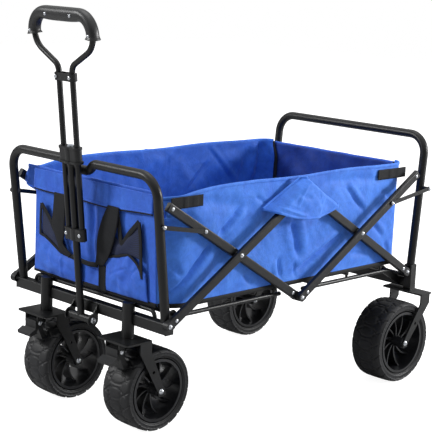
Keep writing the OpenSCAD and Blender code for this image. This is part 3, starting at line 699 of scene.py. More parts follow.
@dataclass
class Studio:
    """A pale floor, soft lamps and a white room behind."""

    floor_half: float = 9.0
    floor_paint: str = "#b8b8b8"
    floor_glow: float = 0.92
    white: str = "#ffffff"
    horizon: float = 0.14
    zenith: float = 1.35

    # name, place, what it faces and size in metres, and its power in watts
    LAMPS = (
        ("right", (2.5, -2.1, 1.15), (0.1, 0, 0.35), 0.6, 95),
        ("left", (-3.1, 2.2, 2.2), (-0.3, 0, 0.4), 0.7, 100),
        ("top", (0.3, 0.4, 4.0), (0, 0, 0.3), 2.0, 30),
    )

    def build(self) -> None:
        """Makes the floor, the world and the lamps."""
        self._floor()
        self._world()
        for name, at, towards, size, watts in self.LAMPS:
            data = bpy.data.lights.new(name, "AREA")
            data.size = size
            data.energy = watts
            back = np.array(at, dtype=float) - np.array(towards)
            lamp = in_scene(bpy.data.objects.new(name, data))
            lamp.matrix_world = facing(at, back / np.linalg.norm(back))
        log.info("studio built")

    def _floor(self) -> None:
        """A square floor that shows as white to the camera and keeps the shadow."""
        h = self.floor_half
        mesh = bpy.data.meshes.new("floor")
        mesh.from_pydata([(-h, -h, 0), (h, -h, 0), (h, h, 0), (-h, h, 0)], [], [(0, 1, 2, 3)])
        skin = bpy.data.materials.new("floor_paint")
        nodes = Wiring(skin)
        matt = nodes.add("BsdfDiffuse", {"Color": colour(self.floor_paint)}).outputs[0]
        glow = nodes.add("Emission", {"Color": colour(self.white), "Strength": self.floor_glow})
        both = nodes.add("AddShader", {0: matt, 1: glow.outputs[0]}).outputs[0]
        seen = nodes.add("LightPath").outputs["Is Camera Ray"]
        pick = nodes.add("MixShader", {0: seen, 1: matt, 2: both})
        nodes.add("OutputMaterial", {"Surface": pick.outputs[0]})
        mesh.materials.append(skin)
        in_scene(bpy.data.objects.new("floor", mesh))

    def _world(self) -> None:
        """White to the camera; for the object, light that is weak from the sides, strong above."""
        world = bpy.data.worlds.new("room")
        nodes = Wiring(world)
        rays = nodes.add("LightPath").outputs
        first = nodes.combine("MAXIMUM", rays["Is Camera Ray"], rays["Is Transmission Ray"])
        direction = nodes.add("SeparateXYZ", {0: nodes.place("Generated")})
        strength = nodes.remap(direction.outputs[2], (0.1, 0.9), (self.horizon, self.zenith))
        soft, white = (
            nodes.add("Background", {"Color": colour(self.white), "Strength": s}).outputs[0]
            for s in (strength, 1.0)
        )
        pick = nodes.add("MixShader", {0: first, 1: soft, 2: white})
        nodes.add("OutputWorld", {"Surface": pick.outputs[0]})
        bpy.context.scene.world = world


# ---------------- carried-over metal and plastic


class Dress:
    """Finishes for the frame's own nodes."""

    BY_WORD: dict[str, Finish] = {
        "bars": BAR_COAT,
        "plugs": PLASTIC,
        "pins": ZINC,
        "bolts": ZINC,
        "axle": ZINC,
        "rim": WHEEL_PLASTIC,
        "tyre": RUBBER,
        "pedal": PLASTIC,
        "collar": PLASTIC,
        "grip": GRIP_PLASTIC,
        "clamp": PLASTIC,
        "slider": PLASTIC,
        "button": BUTTON_PLASTIC,
        "board": FLOOR_CLOTH,
        "basket": SIDE_CLOTH,
    }

    def apply(self) -> None:
        """Gives every node the finish that its name asks for."""
        for name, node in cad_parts.items():
            finish = next((f for word, f in self.BY_WORD.items() if word in name), POWDER)
            for slot in node.material_slots:
                slot.material = finish.material()
        log.info("nodes dressed: %d", len(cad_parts))


# ---------------- tyres


@dataclass
class Tyre:
    """A wide, square-shouldered tyre with a shallow zigzag tread; mm and shares."""

    node: str
    body: str
    centre: Point
    radius: float
    chevrons: int
    width: float = 84.0
    rim_share: float = 0.76
    groove_depth: float = 2.2
    groove_share: float = 0.07  # half a groove's width as a share of a chevron
    slant: float = 0.95  # chevrons that a groove runs on from the middle to the shoulder
    squareness: float = 4.4
    turn_steps: int = 22  # grid steps in a chevron
    section_steps: int = 124

    # end, x, distance from the middle, radius and chevrons
    WHEELS = (("front", -349.0, 138.5, 91.0, 18), ("rear", 349.0, 251.0, 99.0, 20))

    def build(self) -> None:
        """Revolves a squarish section and cuts the tread into it.

        The section is a superellipse between the rim and the tread. Grooves are smooth dips:
        chevrons that cross a second set between the middle and the shoulder, a zigzag ring
        on each side, a raised ring at each shoulder and a fine groove beside the rim.
        """
        rim = self.rim_share * self.radius
        mid, half_h, half_w = (self.radius + rim) / 2, (self.radius - rim) / 2, self.width / 2
        turn = full_turn(self.chevrons * self.turn_steps)[:, None]
        side, up = rounded(full_turn(self.section_steps)[None, :], self.squareness)
        across, height = half_w * side, mid + half_h * up
        share = turn / (2 * np.pi) * self.chevrons
        reach = np.abs(across) / half_w
        tread = smooth_step(height, self.radius - 10, self.radius - 5)
        tooth = np.abs(2 * (share % 1.0) - 1)
        slanted = self._groove(share + self.slant * reach, self.groove_share)
        crossing = self._groove(share - self.slant * reach + 0.3, self.groove_share)
        crossing = crossing * smooth_step(reach, 0.3, 0.36) * (1 - smooth_step(reach, 0.74, 0.8))
        ring = bell((reach - 0.36 - 0.1 * tooth) * half_w, 1.6, 4)
        r = height - tread * np.maximum.reduce([slanted, crossing, ring]) * self.groove_depth
        raised = 1.1 * bell(height - self.radius + 6.5, 1.3)
        notches = 0.5 * self._groove(3 * share, 0.2) * bell(height - self.radius + 11, 2.6, 4)
        beside_rim = 1.4 * bell(height - rim - 4.5, 1.2)
        wall = smooth_step(reach, 0.9, 0.97)
        y = across + np.sign(across) * wall * (raised - notches - beside_rim - 0.6)
        points = grid_of(r * np.cos(turn), y, r * np.sin(turn))
        faces = grid_faces(*points.shape[:2], True, True)[:, ::-1]
        made = make_piece(self.node + "_tread", points + np.array(self.centre), faces, RUBBER)
        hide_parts(self.node)
        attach(made, self.body)
        log.info("tyre %s", self.node)

    @staticmethod
    def _groove(phase: np.ndarray, width: float) -> np.ndarray:
        """1 where the phase is near a half turn and 0 elsewhere."""
        return bell(phase % 1.0 - 0.5, width, 4)


# ---------------- basket


@dataclass
class Basket:
    """The cloth basket: two sides, two ends, a floor mat, bindings, tabs, flap and pockets; mm."""

    front_x: float = -388.0
    rear_x: float = 388.0
    side_y: float = 233.0
    rear_r: float = 44.0  # the rear corners' radius in plan
    proud: float = 4.5  # most that a crease stands out, short of the bars
    hem_z: float = 288.0
    top_z: float = 530.0
    end_top_z: float = 524.0
    end_lean: float = 6.0  # an end panel's top stands out this much further than its hem
    mat_fold_x: float = 345.0  # past this the mat stays on an end frame
    cloth_thick: float = 1.2
    lining_thick: float = 0.8
    lining_gap: float = 2.0
    tape_half: float = 6.5
    keep: float = 0.362  # share of the length left when the cart is folded
    pieces: list[Piece] = field(default_factory=list)

    NEAR_FOLDS = (
        Fold(-262, 412, -375, 301, 6, -10.2), Fold(-248, 404, -352, 298, 8, 6.3),
        Fold(-177, 478, -244, 424, 6, -8.5), Fold(-164, 470, -226, 420, 7, 6.3),
        Fold(-10, 432, 18, 345, 9, -11.0), Fold(-36, 428, -4, 340, 8, 6.3),
        Fold(18, 432, 40, 350, 7, 6.3), Fold(-50, 352, -40, 300, 5, -7.6),
        Fold(-66, 345, -58, 300, 6, 5.4), Fold(160, 380, 4, 310, 5, -7.6),
        Fold(150, 390, 0, 322, 6, 6.3), Fold(2, 334, 10, 296, 4, -6.0),
        Fold(172, 490, 240, 428, 5, -6.8), Fold(186, 494, 250, 434, 7, 5.4),
        Fold(272, 398, 314, 358, 5, -6.0), Fold(284, 402, 322, 366, 6, 4.5),
        Fold(-132, 497, -96, 478, 3, -5.1), Fold(-300, 505, -150, 478, 13, -4.2),
        Fold(-340, 486, -290, 452, 6, -5.1), Fold(-368, 380, -346, 352, 6, -6.0),
        Fold(-352, 352, -374, 338, 5, 5.4), Fold(100, 512, 300, 500, 12, -4.2),
        Fold(300, 470, 352, 440, 7, -5.1), Fold(-160, 330, -130, 296, 6, -5.1),
        Fold(200, 330, 260, 322, 7, -4.2), Fold(330, 340, 350, 300, 6, -5.1),
    )
    FRONT_FOLDS = (
        Fold(8, 524, -4, 300, 6, -7.0), Fold(22, 520, 12, 320, 6, 3.0),
        Fold(-14, 520, -20, 400, 6, 2.5), Fold(-150, 470, -176, 300, 8, -3.0),
        Fold(150, 440, 190, 300, 9, -3.0), Fold(120, 470, 60, 440, 8, 2.5),
    )
    REAR_FOLDS = (
        Fold(-150, 500, -110, 340, 14, -4.0), Fold(-60, 480, -20, 330, 12, 4.0),
        Fold(70, 510, 30, 360, 10, -4.0), Fold(150, 500, 120, 330, 12, 4.0),
        Fold(190, 515, 176, 400, 8, -4.0),
    )
    FAR_FOLDS = (
        Fold(174, 524, 272, 424, 4, 3.5), Fold(184, 528, 284, 430, 6, -2.5),
        Fold(178, 484, 104, 418, 6, 4.0), Fold(164, 488, 92, 424, 6, -3.0),
        Fold(36, 526, 36, 300, 2.5, 1.8), Fold(-64, 526, -120, 460, 4, 3.0),
        Fold(70, 500, 110, 440, 14, -3.0), Fold(326, 524, 296, 420, 12, 5.0),
        Fold(350, 520, 334, 420, 10, -5.0), Fold(368, 516, 360, 420, 7, 5.0),
        Fold(230, 500, 320, 470, 16, -3.0), Fold(-250, 500, -300, 400, 8, -3.0),
        Fold(-200, 440, -120, 330, 8, 3.0), Fold(0, 400, 60, 320, 9, 3.0),
    )

    def top_edge(self, x: np.ndarray) -> np.ndarray:
        """Height of the sides' upper edge: lowest at the front corner, highest over the middle."""
        return 531 - 15 * bell(x + 392, 70) - 3 * np.cos(x / 105) ** 2

    def rear_plan(self, columns: int) -> tuple[np.ndarray, np.ndarray]:
        """A side's x along its length and how far it curves in towards the rear corner."""
        turn = np.linspace(0, np.pi / 2, 20)[1:]
        straight = np.linspace(self.front_x, self.rear_x - self.rear_r, columns - len(turn))
        x = np.concatenate([straight, self.rear_x - self.rear_r + self.rear_r * np.sin(turn)])
        curve = np.concatenate([0 * straight, self.rear_r * (1 - np.cos(turn))])
        return x[None, :], curve[None, :]

    def side_sheet(self, side: int, columns: int = 170, rows: int = 60) -> np.ndarray:
        """Grid of a side: a flat sheet that folds round both corners, with creases.

        Creases and rumples are added to the distance from the middle plane and fade out at
        the hems and corners.
        """
        x, curve = self.rear_plan(columns)
        v = np.linspace(0, 1, rows)[:, None]
        z = self.hem_z + v * (self.top_edge(x) - self.hem_z)
        calm = smooth_step(v, 0, 0.12) * (1 - 0.6 * smooth_step(v, 0.9, 1.0))
        ends = smooth_step(x, self.front_x, self.front_x + 30)
        ends = ends * (1 - smooth_step(x, self.rear_x - 30, self.rear_x))
        creases = sum(f.raise_at(x, z) for f in (self.NEAR_FOLDS if side < 0 else self.FAR_FOLDS))
        creases = creases + rumple(x, z, side + 3, 95, 1.8) + rumple(x, z, side + 13, 38, 0.5)
        depth = creases * calm * ends
        depth = np.where(depth > 0, self.proud * (1 - np.exp(-depth / self.proud)), depth)
        front = self.front_draw(v, side) * bell(x - self.front_x, 26)
        y = side * (self.side_y + depth - front - curve * self.rear_share(v))
        return grid_of(x, y, z)

    @staticmethod
    def front_draw(v: np.ndarray, side: int | np.ndarray) -> np.ndarray:
        """How far a front corner draws in: more with height, then it flares to the post."""
        flare = np.where(np.asarray(side) > 0, 44, 28)
        return 27 + 9 * v - flare * smooth_step(v, 0.79, 0.845) + 15 * smooth_step(v, 0.86, 1.0)

    @staticmethod
    def rear_share(v: np.ndarray) -> np.ndarray:
        """How much of its full radius a rear corner has: less at the top, where a tab pulls it."""
        return 1 - 0.3 * smooth_step(v, 0.8, 1.0)

    def end_sheet(self, end: int, columns: int = 90, rows: int = 50) -> np.ndarray:
        """Grid of an end: a flat sheet with soft creases that leans out a little."""
        v = np.linspace(0, 1, rows)[:, None]
        share = np.linspace(-1, 1, columns)[None, :]
        if end < 0:
            face, folds = self.front_x, self.FRONT_FOLDS
            inset = self.front_draw(v, np.sign(share))
        else:
            face, folds = self.rear_x, self.REAR_FOLDS
            inset = self.rear_r * self.rear_share(v)
        y = (self.side_y - inset) * share
        z = self.hem_z + v * (self.end_top_z - self.hem_z)
        calm = smooth_step(v, 0, 0.1) * smooth_step(self.side_y - inset - np.abs(y), 0, 40)
        creases = sum(f.raise_at(y, z) for f in folds) + rumple(y, z, end + 20, 90, 1.8)
        return grid_of(face + end * (v * self.end_lean + creases * calm), y, z)

    def carry(self, made: Piece, body: str = "front_frame", squash: bool = False) -> None:
        """Makes a cloth piece ride on a body; a squashed piece also gets a mesh of its own."""
        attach(made, body)
        if squash:
            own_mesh(made)
        self.pieces.append(made)

    def build(self) -> None:
        """Builds every cloth piece of the basket."""
        for side, name in SIDES:
            cloths = (SIDE_CLOTH, INNER_CLOTH)
            self._panel("side", name, self.side_sheet(side), (0, side, 0), side < 0, cloths)
        # the rear end takes the darkest lining copy: painted shade
        for end, name, lining in ((-1, "front", INNER_CLOTH), (1, "rear", SHADED_REAR_LINING)):
            cloths = (END_CLOTH, lining)
            self._panel("end", name, self.end_sheet(end), (end, 0, 0), end > 0, cloths)
        self._floor_mat()
        for side, name in SIDES:
            self._corner_tape(side, name)
        log.info("basket: %d cloth pieces", len(self.pieces))

    def _panel(
        self,
        kind: str,
        name: str,
        grid: np.ndarray,
        out: Sequence[int],
        faces_out: bool,
        cloths: tuple[Finish, Finish],
    ) -> None:
        """A side or an end: outer cloth, lining, black tape on the lower hem, rolled upper hem.

        Args:
            kind: "side" or "end".
            name: which one.
            grid: the outer cloth's points, mm.
            out: unit vector out of the basket.
            faces_out: whether the grid's normals point out.
            cloths: finishes of the outer cloth and the lining.
        """
        is_side = kind == "side"
        hem = "" if is_side else "end_"
        outer, lining = cloths
        cloth = sheet_piece(f"{kind}_cloth_{name}", grid, outer, self.cloth_thick, faces_out)
        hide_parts(f"basket_side_{name}" if is_side else f"basket_{name}")
        inner = grid - self.lining_gap * np.array(out)
        low = grid[0] + np.array(out) + np.array([0, 0, 1.0])
        top = grid[-1] + np.array([0, 0, 0.5 if is_side else 0.0])
        made = (
            cloth,
            sheet_piece(f"{kind}_lining_{name}", inner, lining, self.lining_thick, not faces_out),
            tube_piece(f"{hem}hem_binding_{name}", low, BINDING, 5.0, 1.8, UP),
            tube_piece(f"{hem}top_hem_{name}", top, outer, 4.0, 2.0, UP),
        )
        for piece in made:
            self.carry(piece, "front_frame" if is_side else f"{name}_frame", squash=is_side)

    def _corner_tape(self, side: int, name: str) -> None:
        """Black tape sewn inside along the seam between a side and the rear panel."""
        v = np.linspace(0, 1, 40)[:, None]
        w = np.linspace(-1, 1, 10)[None, :]
        z = self.hem_z + 6 + v * (self.top_z - self.hem_z - 8)
        x = self.rear_x - self.end_lean + self.end_lean * v + 1.0 * w * side
        y = side * (self.side_y - self.rear_r * self.rear_share(v) + self.tape_half * w)
        grid = grid_of(x, y, z)
        self.carry(sheet_piece(f"corner_tape_{name}", grid, WEBBING, 1.4, side < 0), "rear_frame")

    def _floor_mat(self) -> None:
        """A soft mat on the floor in five parts: two fold up with the floor's halves."""
        fold_x, middle = self.mat_fold_x, 38.0
        parts = (
            ("front_edge", self.front_x + 4, -fold_x, "front_frame"),
            ("front_half", -fold_x, -middle, "front_floor"),
            ("middle", -middle, middle, "front_frame"),
            ("rear_half", middle, fold_x, "rear_floor"),
            ("rear_edge", fold_x, self.rear_x - 4, "rear_frame"),
        )
        y = np.linspace(-self.side_y + 5, self.side_y - 5, 60)[:, None]
        for name, start, end, body in parts:
            x = np.linspace(start, end, max(8, int((end - start) / 6)))[None, :]
            dish = 1.2 * np.sin(x / 26) * np.sin(y / 31) + rumple(x, y, 40, 80, 0.8)
            z = self.hem_z + 9 + dish * 0.6 - 3.0 * bell(x, 6)
            inset = np.where(np.abs(x) > fold_x, 0.84, 1.0)
            grid = grid_of(x, y * inset, z)
            mat = sheet_piece(f"floor_mat_{name}", grid, INNER_CLOTH, 1.5, True)
            if name == "middle":
                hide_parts("basket_floor")
            self.carry(mat, body, squash=name == "middle")


# ---------------- front pockets and straps


@dataclass
class FrontPockets:
    """Flap seam, two straps, two net pockets and their rims on the front panel; (y, z) in mm."""

    basket: Basket
    face_x: float = -392.0
    flap_z: float = 478.0
    flap_top_z: float = 523.0

    STRAPS = (
        (
            "left",
            ((120, 480), (120, 436), (122, 408), (109, 386), (94, 358), (70, 340)),
            ((79, 480), (78, 435), (79, 403), (82, 385), (85, 369), (62, 350)),
        ),
        (
            "right",
            ((-62, 480), (-47, 448), (-34, 407), (-28, 367), (-20, 342)),
            ((-97, 480), (-97, 460), (-94, 433), (-84, 399), (-70, 372), (-48, 346)),
        ),
    )
    NETS = (
        (
            "left",
            ((168, 444), (150, 428), (133, 409), (112, 378), (96, 347)),
            ((172, 377), (152, 372), (133, 364), (114, 354), (96, 345)),
        ),
        (
            "right",
            ((-160, 457), (-134, 434), (-104, 405), (-84, 412), (-62, 418)),
            ((-165, 376), (-146, 381), (-124, 382), (-90, 374), (-57, 367)),
        ),
    )
    POUCHES = (
        (
            "left",
            ((188, 366), (172, 374), (133, 361), (97, 344), (42, 340)),
            ((200, 292), (160, 291), (120, 290), (80, 289), (40, 289)),
        ),
        (
            "right",
            ((-52, 366), (-90, 373), (-124, 381), (-150, 368), (-176, 352)),
            ((-46, 292), (-80, 292), (-115, 292), (-150, 292), (-184, 293)),
        ),
    )
    SLANT = ((168, 446), (150, 428), (133, 409), (112, 378), (97, 352), (72, 346), (42, 343))
    RIMS = (
        ("left_slant", (*SLANT, (8, 340), (-26, 342)), 5.5),
        ("left_edge", ((169, 447), (172, 412), (173, 376)), 4.0),
        ("left_hem", ((173, 377), (152, 372), (120, 357), (97, 346)), 3.0),
        ("right_slant", ((-88, 476), (-96, 440), (-104, 404), (-130, 432), (-158, 459)), 6.0),
        ("right_edge", ((-158, 459), (-163, 420), (-165, 372), (-166, 340)), 4.5),
        ("right_hem", ((-57, 367), (-90, 374), (-124, 382), (-150, 371), (-166, 352)), 3.0),
    )
    POUCH_CREASES = (
        Fold(-66, 330, -124, 356, 2.2, -3.5), Fold(-124, 357, -144, 344, 2.2, -3.5),
        Fold(-138, 342, -160, 366, 2.2, -3.5), Fold(-160, 374, -177, 318, 2.2, -4.0),
        Fold(-128, 362, -166, 322, 4.0, 3.0), Fold(150, 350, 138, 318, 5.0, -3.0),
        Fold(96, 340, 94, 292, 3.0, 3.0),
    )
    STRAP_TAILS = ((-39.0, 13.0), (40.0, 8.0))  # y and half a width

    def lift(self, flat: np.ndarray, out: np.ndarray | float) -> np.ndarray:
        """Places (y, z) points on the leaning panel, `out` mm in front of it."""
        low, rise = self.basket.hem_z, self.basket.end_top_z - self.basket.hem_z
        x = self.face_x - self.basket.end_lean * (flat[..., 1] - low) / rise - out
        return grid_of(x, flat[..., 0], flat[..., 1])

    def loft(self, top: Curve, low: Curve, bulge: float, rough: float, seed: int) -> np.ndarray:
        """Grid between two curves, blown out in the middle and rumpled."""
        flat = between(top, low, 50, 30)
        v = np.linspace(0, 1, 30)[:, None]
        arch = np.sin(np.pi * np.linspace(0, 1, 50))[None, :]
        out = 1.5 + bulge * arch**0.6 * np.sin(np.pi * np.clip(v * 0.92 + 0.08, 0, 1)) ** 0.7
        a, b = flat[..., 0], flat[..., 1]
        creases = sum(f.raise_at(a, b) for f in self.POUCH_CREASES)
        out = out + (rumple(a, b, seed, 34, rough) + creases) * arch
        return self.lift(flat, np.maximum(out, 1.0))

    def build(self) -> None:
        """Builds the pouches, nets, straps, rims, flap and strap tails."""
        carry = self.basket.carry
        layers = (
            ("pouch", self.POUCHES, 9, 1.6, 60, END_CLOTH, 1.0),
            ("pocket_net", self.NETS, 5, 0.8, 70, NET, 0.8),
        )
        for kind, edges, bulge, rough, seed, finish, thick in layers:
            for k, (name, top, low) in enumerate(edges):
                grid = self.loft(top, low, bulge, rough, seed + k)
                carry(sheet_piece(f"{kind}_{name}", grid, finish, thick, outwards=k == 0))
        for name, one, other in self.STRAPS:
            flat = between(one, other, 60, 14).transpose(1, 0, 2)
            w = np.linspace(-1, 1, 14)[None, :]
            belly = 7 * np.sin(np.pi * np.linspace(0, 1, 60))[:, None] * (1 - 0.25 * w**2)
            carry(sheet_piece(f"strap_{name}", self.lift(flat, 6.5 + belly), WEBBING, 2.2, False))
        for name, points, half in self.RIMS:
            line = self.lift(curve_through(points, 60), 5.0)
            carry(tube_piece(f"pocket_rim_{name}", line, WEBBING, 1.4, half, AHEAD))
        self._flap()
        for at, half in self.STRAP_TAILS:
            line = self.lift(np.array([[at, 344.0], [at - 1, 318.0], [at, 288.0]]), 3.0)
            run = np.linspace(0, 2, 30)
            line = np.stack([np.interp(run, range(3), column) for column in line.T], axis=1)
            name = f"strap_tail_{int(abs(at))}"
            carry(tube_piece(name, line, WEBBING, 1.2, half, AHEAD, power=3.5))
        log.info("front pockets built")

    def _flap(self) -> None:
        """The panel's folded-over top: a second layer down to its stitched lower edge."""
        y = np.linspace(-198, 196, 100)[None, :]
        v = np.linspace(0, 1, 26)[:, None]
        low = self.flap_z + 5 * (y / 198) ** 2 + 1.5 * np.sin(y / 37)
        z = self.flap_top_z + v * (low - self.flap_top_z)
        out = 2.2 + 1.8 * v + rumple(y, z, 81, 60, 0.9) * v
        grid = self.lift(grid_of(y, z), out)
        self.basket.carry(sheet_piece("front_flap", grid, END_CLOTH, 1.4, False))
        # The black tube just under the flap's edge is painted shadow: a dark strip where the flap
        # shades the panel.
        edges = (("flap_seam", END_CLOTH, 0.0, 4.4), ("flap_painted_shadow", BINDING, 3.2, 3.4))
        for name, finish, down, out in edges:
            edge = self.lift(grid_of(y[0], low[0] - down), out)
            self.basket.carry(tube_piece(name, edge, finish, 1.6, 2.0, AHEAD, 10, 2.5))


@dataclass
class SidePatch:
    """The cover of a side's middle joint: a pointed cloth sewn on along its upper edges; mm."""

    basket: Basket
    side: int
    wall_y: float = 235.0
    joint_z: float = 506.0  # the bars' top joint
    blend_half: float = 30.0  # the cloth turns from one bar to the other within this x
    bar_slope: tuple[float, float] = (0.521, 0.8535)  # unit normal of the right bar in (x, z)
    drop: tuple[float, float] = (12.0, 32.0)  # from the bars' line, it returns to the side here
    far_drop: float = 8.0  # the far side's upper edge lies this much lower

    UPPER = ((-119, 471), (-62, 502), (-9, 531), (3, 531), (54, 496), (117, 461))
    LOWER = ((-119, 470), (-92, 463), (-51, 451), (6, 442), (60, 444), (117, 460))
    CREASES = (
        Fold(-92, 482, -14, 455, 3.5, -4.0), Fold(-88, 474, -8, 449, 4.5, 3.0),
        Fold(-10, 524, -44, 470, 5, 2.5), Fold(12, 516, 48, 462, 6, -3.0),
        Fold(-40, 500, 6, 486, 5, -2.0), Fold(60, 486, 30, 452, 5, 2.2),
    )

    def stand_off(self, x: np.ndarray, z: np.ndarray) -> np.ndarray:
        """How far the cloth stands out: over and between the bars in full, beyond them hardly."""
        above = self.bar_slope[0] * np.abs(x) + self.bar_slope[1] * (z - self.joint_z)
        full = 38 - 10 * smooth_step(x, 16, 70)
        return 4 + (full - 4) * (1 - smooth_step(above, *self.drop))

    def build(self) -> None:
        """Lofts the cloth from its upper edges to its sagging lower hem, proud of the bars."""
        side, name = self.side, dict(SIDES)[self.side]
        columns = 84
        high = evenly(self.UPPER, columns) - np.array([0, self.far_drop if side > 0 else 0])
        v = np.linspace(0, 1, 44)[:, None, None]
        flat = high[None] * (1 - v) + curve_through(self.LOWER, columns)[None] * v
        x, z = flat[..., 0], flat[..., 1]
        free = smooth_step(v[..., 0], 0, 0.15)
        creases = sum(f.raise_at(x, z) for f in self.CREASES) + rumple(x, z, 90, 40, 0.9)
        out = self.wall_y + self.stand_off(x, z) + 1.5 + np.maximum(creases, -1.0) * free
        grid = grid_of(x, side * out, z)
        seam = grid[0][:44] + np.array([0, side * 1.2, 0])
        pieces = (
            sheet_piece(f"top_pocket_{name}", grid, SIDE_CLOTH, 1.2, outwards=side > 0),
            tube_piece(f"top_pocket_hem_{name}", grid[-1], SIDE_CLOTH, 1.6, 3.0, ACROSS, 10, 2.5),
            tube_piece(f"top_pocket_seam_{name}", seam, SIDE_CLOTH, 2.0, 3.2, ACROSS, 10, 2.5),
        )
        for piece in pieces:
            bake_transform(piece)
            self.basket.pieces.append(piece)
        log.info("top pocket %s", name)


@dataclass
class WebbingTab:
    """A doubled webbing tab that ties a corner of the basket to a post; mm."""

    basket: Basket
    side: int
    start_x: float
    end_x: float
    z: float
    half: float = 12.0
    wall_y: float = 235.6

    def build(self) -> None:
        """A flat strap with two thicker folds, against the side cloth."""
        name = f"{dict(SIDES)[self.side]}_{'front' if self.start_x < 0 else 'rear'}"
        x = np.linspace(self.start_x, self.end_x, 60)[None, :]
        v = np.linspace(-1, 1, 10)[:, None]
        share = (x - self.start_x) / (self.end_x - self.start_x)
        thick = 1.2 + 1.5 * bell(share - 0.45, 0.07, 4) + 1.2 * bell(share - 0.75, 0.09, 4)
        grid = grid_of(x, self.side * (self.wall_y + thick), self.z + self.half * v)
        tab = sheet_piece(f"webbing_tab_{name}", grid, WEBBING, 1.6, outwards=self.side < 0)
        self.basket.carry(tab, squash=True)


# ---------------- handle and small hardware


@dataclass
class Handle:
    """The handle's own frame, its grip and its rivets; mm and degrees."""

    pivot: Point = (-419.0, 0.0, 226.0)
    lean: float = 6.0
    grip_up: float = 655.1  # the grip's middle above the pivot
    clamp_up: float = 524.0
    slider_up: float = 187.0
    top_half: float = 53.0
    bend: float = 42.0

    def place(self, local: np.ndarray | Point) -> np.ndarray:
        """Moves points from the handle's own frame (z along the pole) to the cart."""
        a = math.radians(self.lean)
        turn = [[math.cos(a), 0, -math.sin(a)], [0, 1, 0], [math.sin(a), 0, math.cos(a)]]
        return np.asarray(local) @ np.array(turn).T + np.array(self.pivot)

    def across(self, x: float) -> np.ndarray:
        """The handle's own x direction, times x, in the cart."""
        return self.place((x, 0.0, 0.0)) - self.place((0.0, 0.0, 0.0))

    def grip(self) -> None:
        """Moulded grip: an oval section round the loop's top, swollen below, flared at its ends."""
        count = 40
        left = np.radians(np.linspace(188, 90, count))
        right = np.radians(np.linspace(90, -8, count))
        top = np.linspace(-self.top_half, self.top_half, count)[1:-1]
        cos_left, cos_right = self.bend * np.cos(left), self.bend * np.cos(right)
        y = np.concatenate([cos_left - self.top_half, top, cos_right + self.top_half])
        rise = [self.bend * np.sin(left), np.full(len(top), self.bend), self.bend * np.sin(right)]
        z = self.grip_up - self.bend + np.concatenate(rise)
        run = np.linspace(-1, 1, len(y))
        swell = bell(run, 0.42, 4)
        flare = 2.6 * bell(1 - np.abs(run), 0.035)
        path = self.place(grid_of(0 * y, y, z - 2.2 * swell))
        half_x, half_z = 12.6 + 0.8 * swell + flare, 12.2 + 2.6 * swell + flare
        side = self.across(1.0)
        made = tube_piece("grip_moulding", path, GRIP_PLASTIC, half_x, half_z, side, 28, 2.5)
        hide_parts("handle_grip")
        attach(made, "handle_slide")

    def rivets(self) -> None:
        """Bright rivet heads on the grip, clamp and slider, on the side away from the basket."""
        pairs = (
            (-13.0, 40.0, self.grip_up - 3, 3.6),
            (-12.6, 95.0, self.grip_up - 40, 3.4),
            (-9.9, 22.0, self.clamp_up, 4.2),
            (-9.4, 22.0, self.slider_up, 4.4),
        )
        spots = [(x, side * y, z, r) for x, y, z, r in pairs for side in (-1, 1)]
        heads = [
            dome(f"handle_rivet_{k}", self.place((x, y, z)), self.across(-1.0), r, 2.4)
            for k, (x, y, z, r) in enumerate(spots)
        ]
        fasten("handle_rivets", heads, "handle_slide")

    def build(self) -> None:
        """Builds the grip and the rivets."""
        self.grip()
        self.rivets()
        log.info("handle built")


@dataclass(frozen=True)
class Bar:
    """A scissor bar's middle line, on which its fixing rivets lie; (x, z) and y in mm."""

    body: str
    start: tuple[float, float]
    end: tuple[float, float]
    face_y: float
    free_end: bool

    def rivets(self, from_pivot: float = 20.0, from_free_end: float = 10.0) -> np.ndarray:
        """The two rivets' (x, z)."""
        a, b = np.array(self.start), np.array(self.end)
        length = float(np.linalg.norm(b - a))
        runs = np.array([from_pivot, length - (from_free_end if self.free_end else from_pivot)])
        return a + runs[:, None] * (b - a) / length


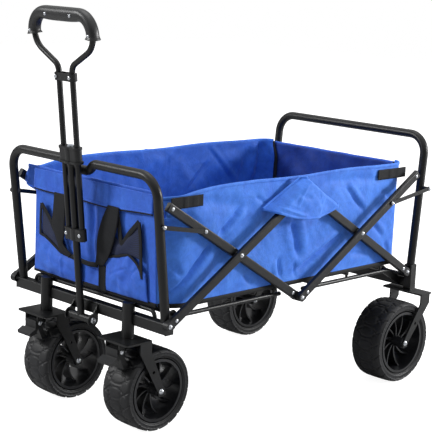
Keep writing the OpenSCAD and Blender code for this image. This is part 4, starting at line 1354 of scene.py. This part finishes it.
class Hardware:
    """Bright rivet and bolt heads over the frame's own; mm."""

    # body, (x, distance from the middle, z), radius and height of the head, and the middle's y
    SPOTS = (
        ("front_link", (-418.9, 255.6, 466.0), 4.5, 3.2, 0.0),
        ("front_link", (-302.3, 255.6, 444.5), 4.5, 3.2, 0.0),
        ("rear_link", (445.1, 268.9, 466.0), 4.5, 3.2, 0.0),
        ("rear_link", (302.3, 268.9, 444.5), 4.5, 3.2, 0.0),
        ("front_frame", (-419.0, 40.0, 226.0), 6.8, 4.4, 0.0),
        ("brake_left", (-440.0, 22.3, 188.0), 5.4, 2.4, 138.5),
        ("brake_right", (-440.0, 22.3, 188.0), 5.4, 2.4, -138.5),
    )
    FIXING = (4.2, 1.5)  # a fixing rivet's radius and height
    BARS = (
        Bar("front_lower", (-403, 260), (0, 506), 265.7, False),
        Bar("front_upper", (0, 260), (-403, 506), 252.1, True),
        Bar("rear_upper", (0, 260), (403, 506), 265.7, True),
        Bar("rear_lower", (403, 260), (0, 506), 252.1, False),
    )

    def build(self) -> None:
        """Makes a head on both sides for each spot, and a low head over each fixing rivet."""
        for k, (body, (x, y, z), radius, height, middle) in enumerate(self.SPOTS):
            heads = [
                dome(f"head_{k}_{s}", (x, middle + s * y, z), (0, s, 0), radius, height)
                for s, _ in SIDES
            ]
            fasten(f"heads_{body}_{k}", heads, body)
        for bar in self.BARS:
            heads = [
                dome(f"fixing_{bar.body}_{k}_{s}", (x, s * bar.face_y, z), (0, s, 0), *self.FIXING)
                for k, (x, z) in enumerate(bar.rivets())
                for s, _ in SIDES
            ]
            fasten(f"fixing_rivets_{bar.body}", heads, bar.body)
        log.info("hardware heads built")


def main() -> None:
    """Builds the cart's looks in order."""
    logging.basicConfig(level=logging.INFO, format="%(name)s: %(message)s")
    bpy.context.scene.view_settings.view_transform = "Standard"
    Viewpoint().place()
    Studio().build()
    Dress().apply()
    for s, name in SIDES:
        for end, x, y, radius, chevrons in Tyre.WHEELS:
            node, body = f"{end}_tyre_{name}", f"{end}_wheel_{name}"
            Tyre(node, body, (x, s * y, radius), radius, chevrons).build()
    basket = Basket()
    basket.build()
    FrontPockets(basket).build()
    for s, _ in SIDES:
        SidePatch(basket, s).build()
        WebbingTab(basket, s, -386.0, -296.0, 508.0).build()
        WebbingTab(basket, s, 282.0, 386.0, 509.0).build()
    Handle().build()
    Hardware().build()


if __name__ == "__main__":
    main()
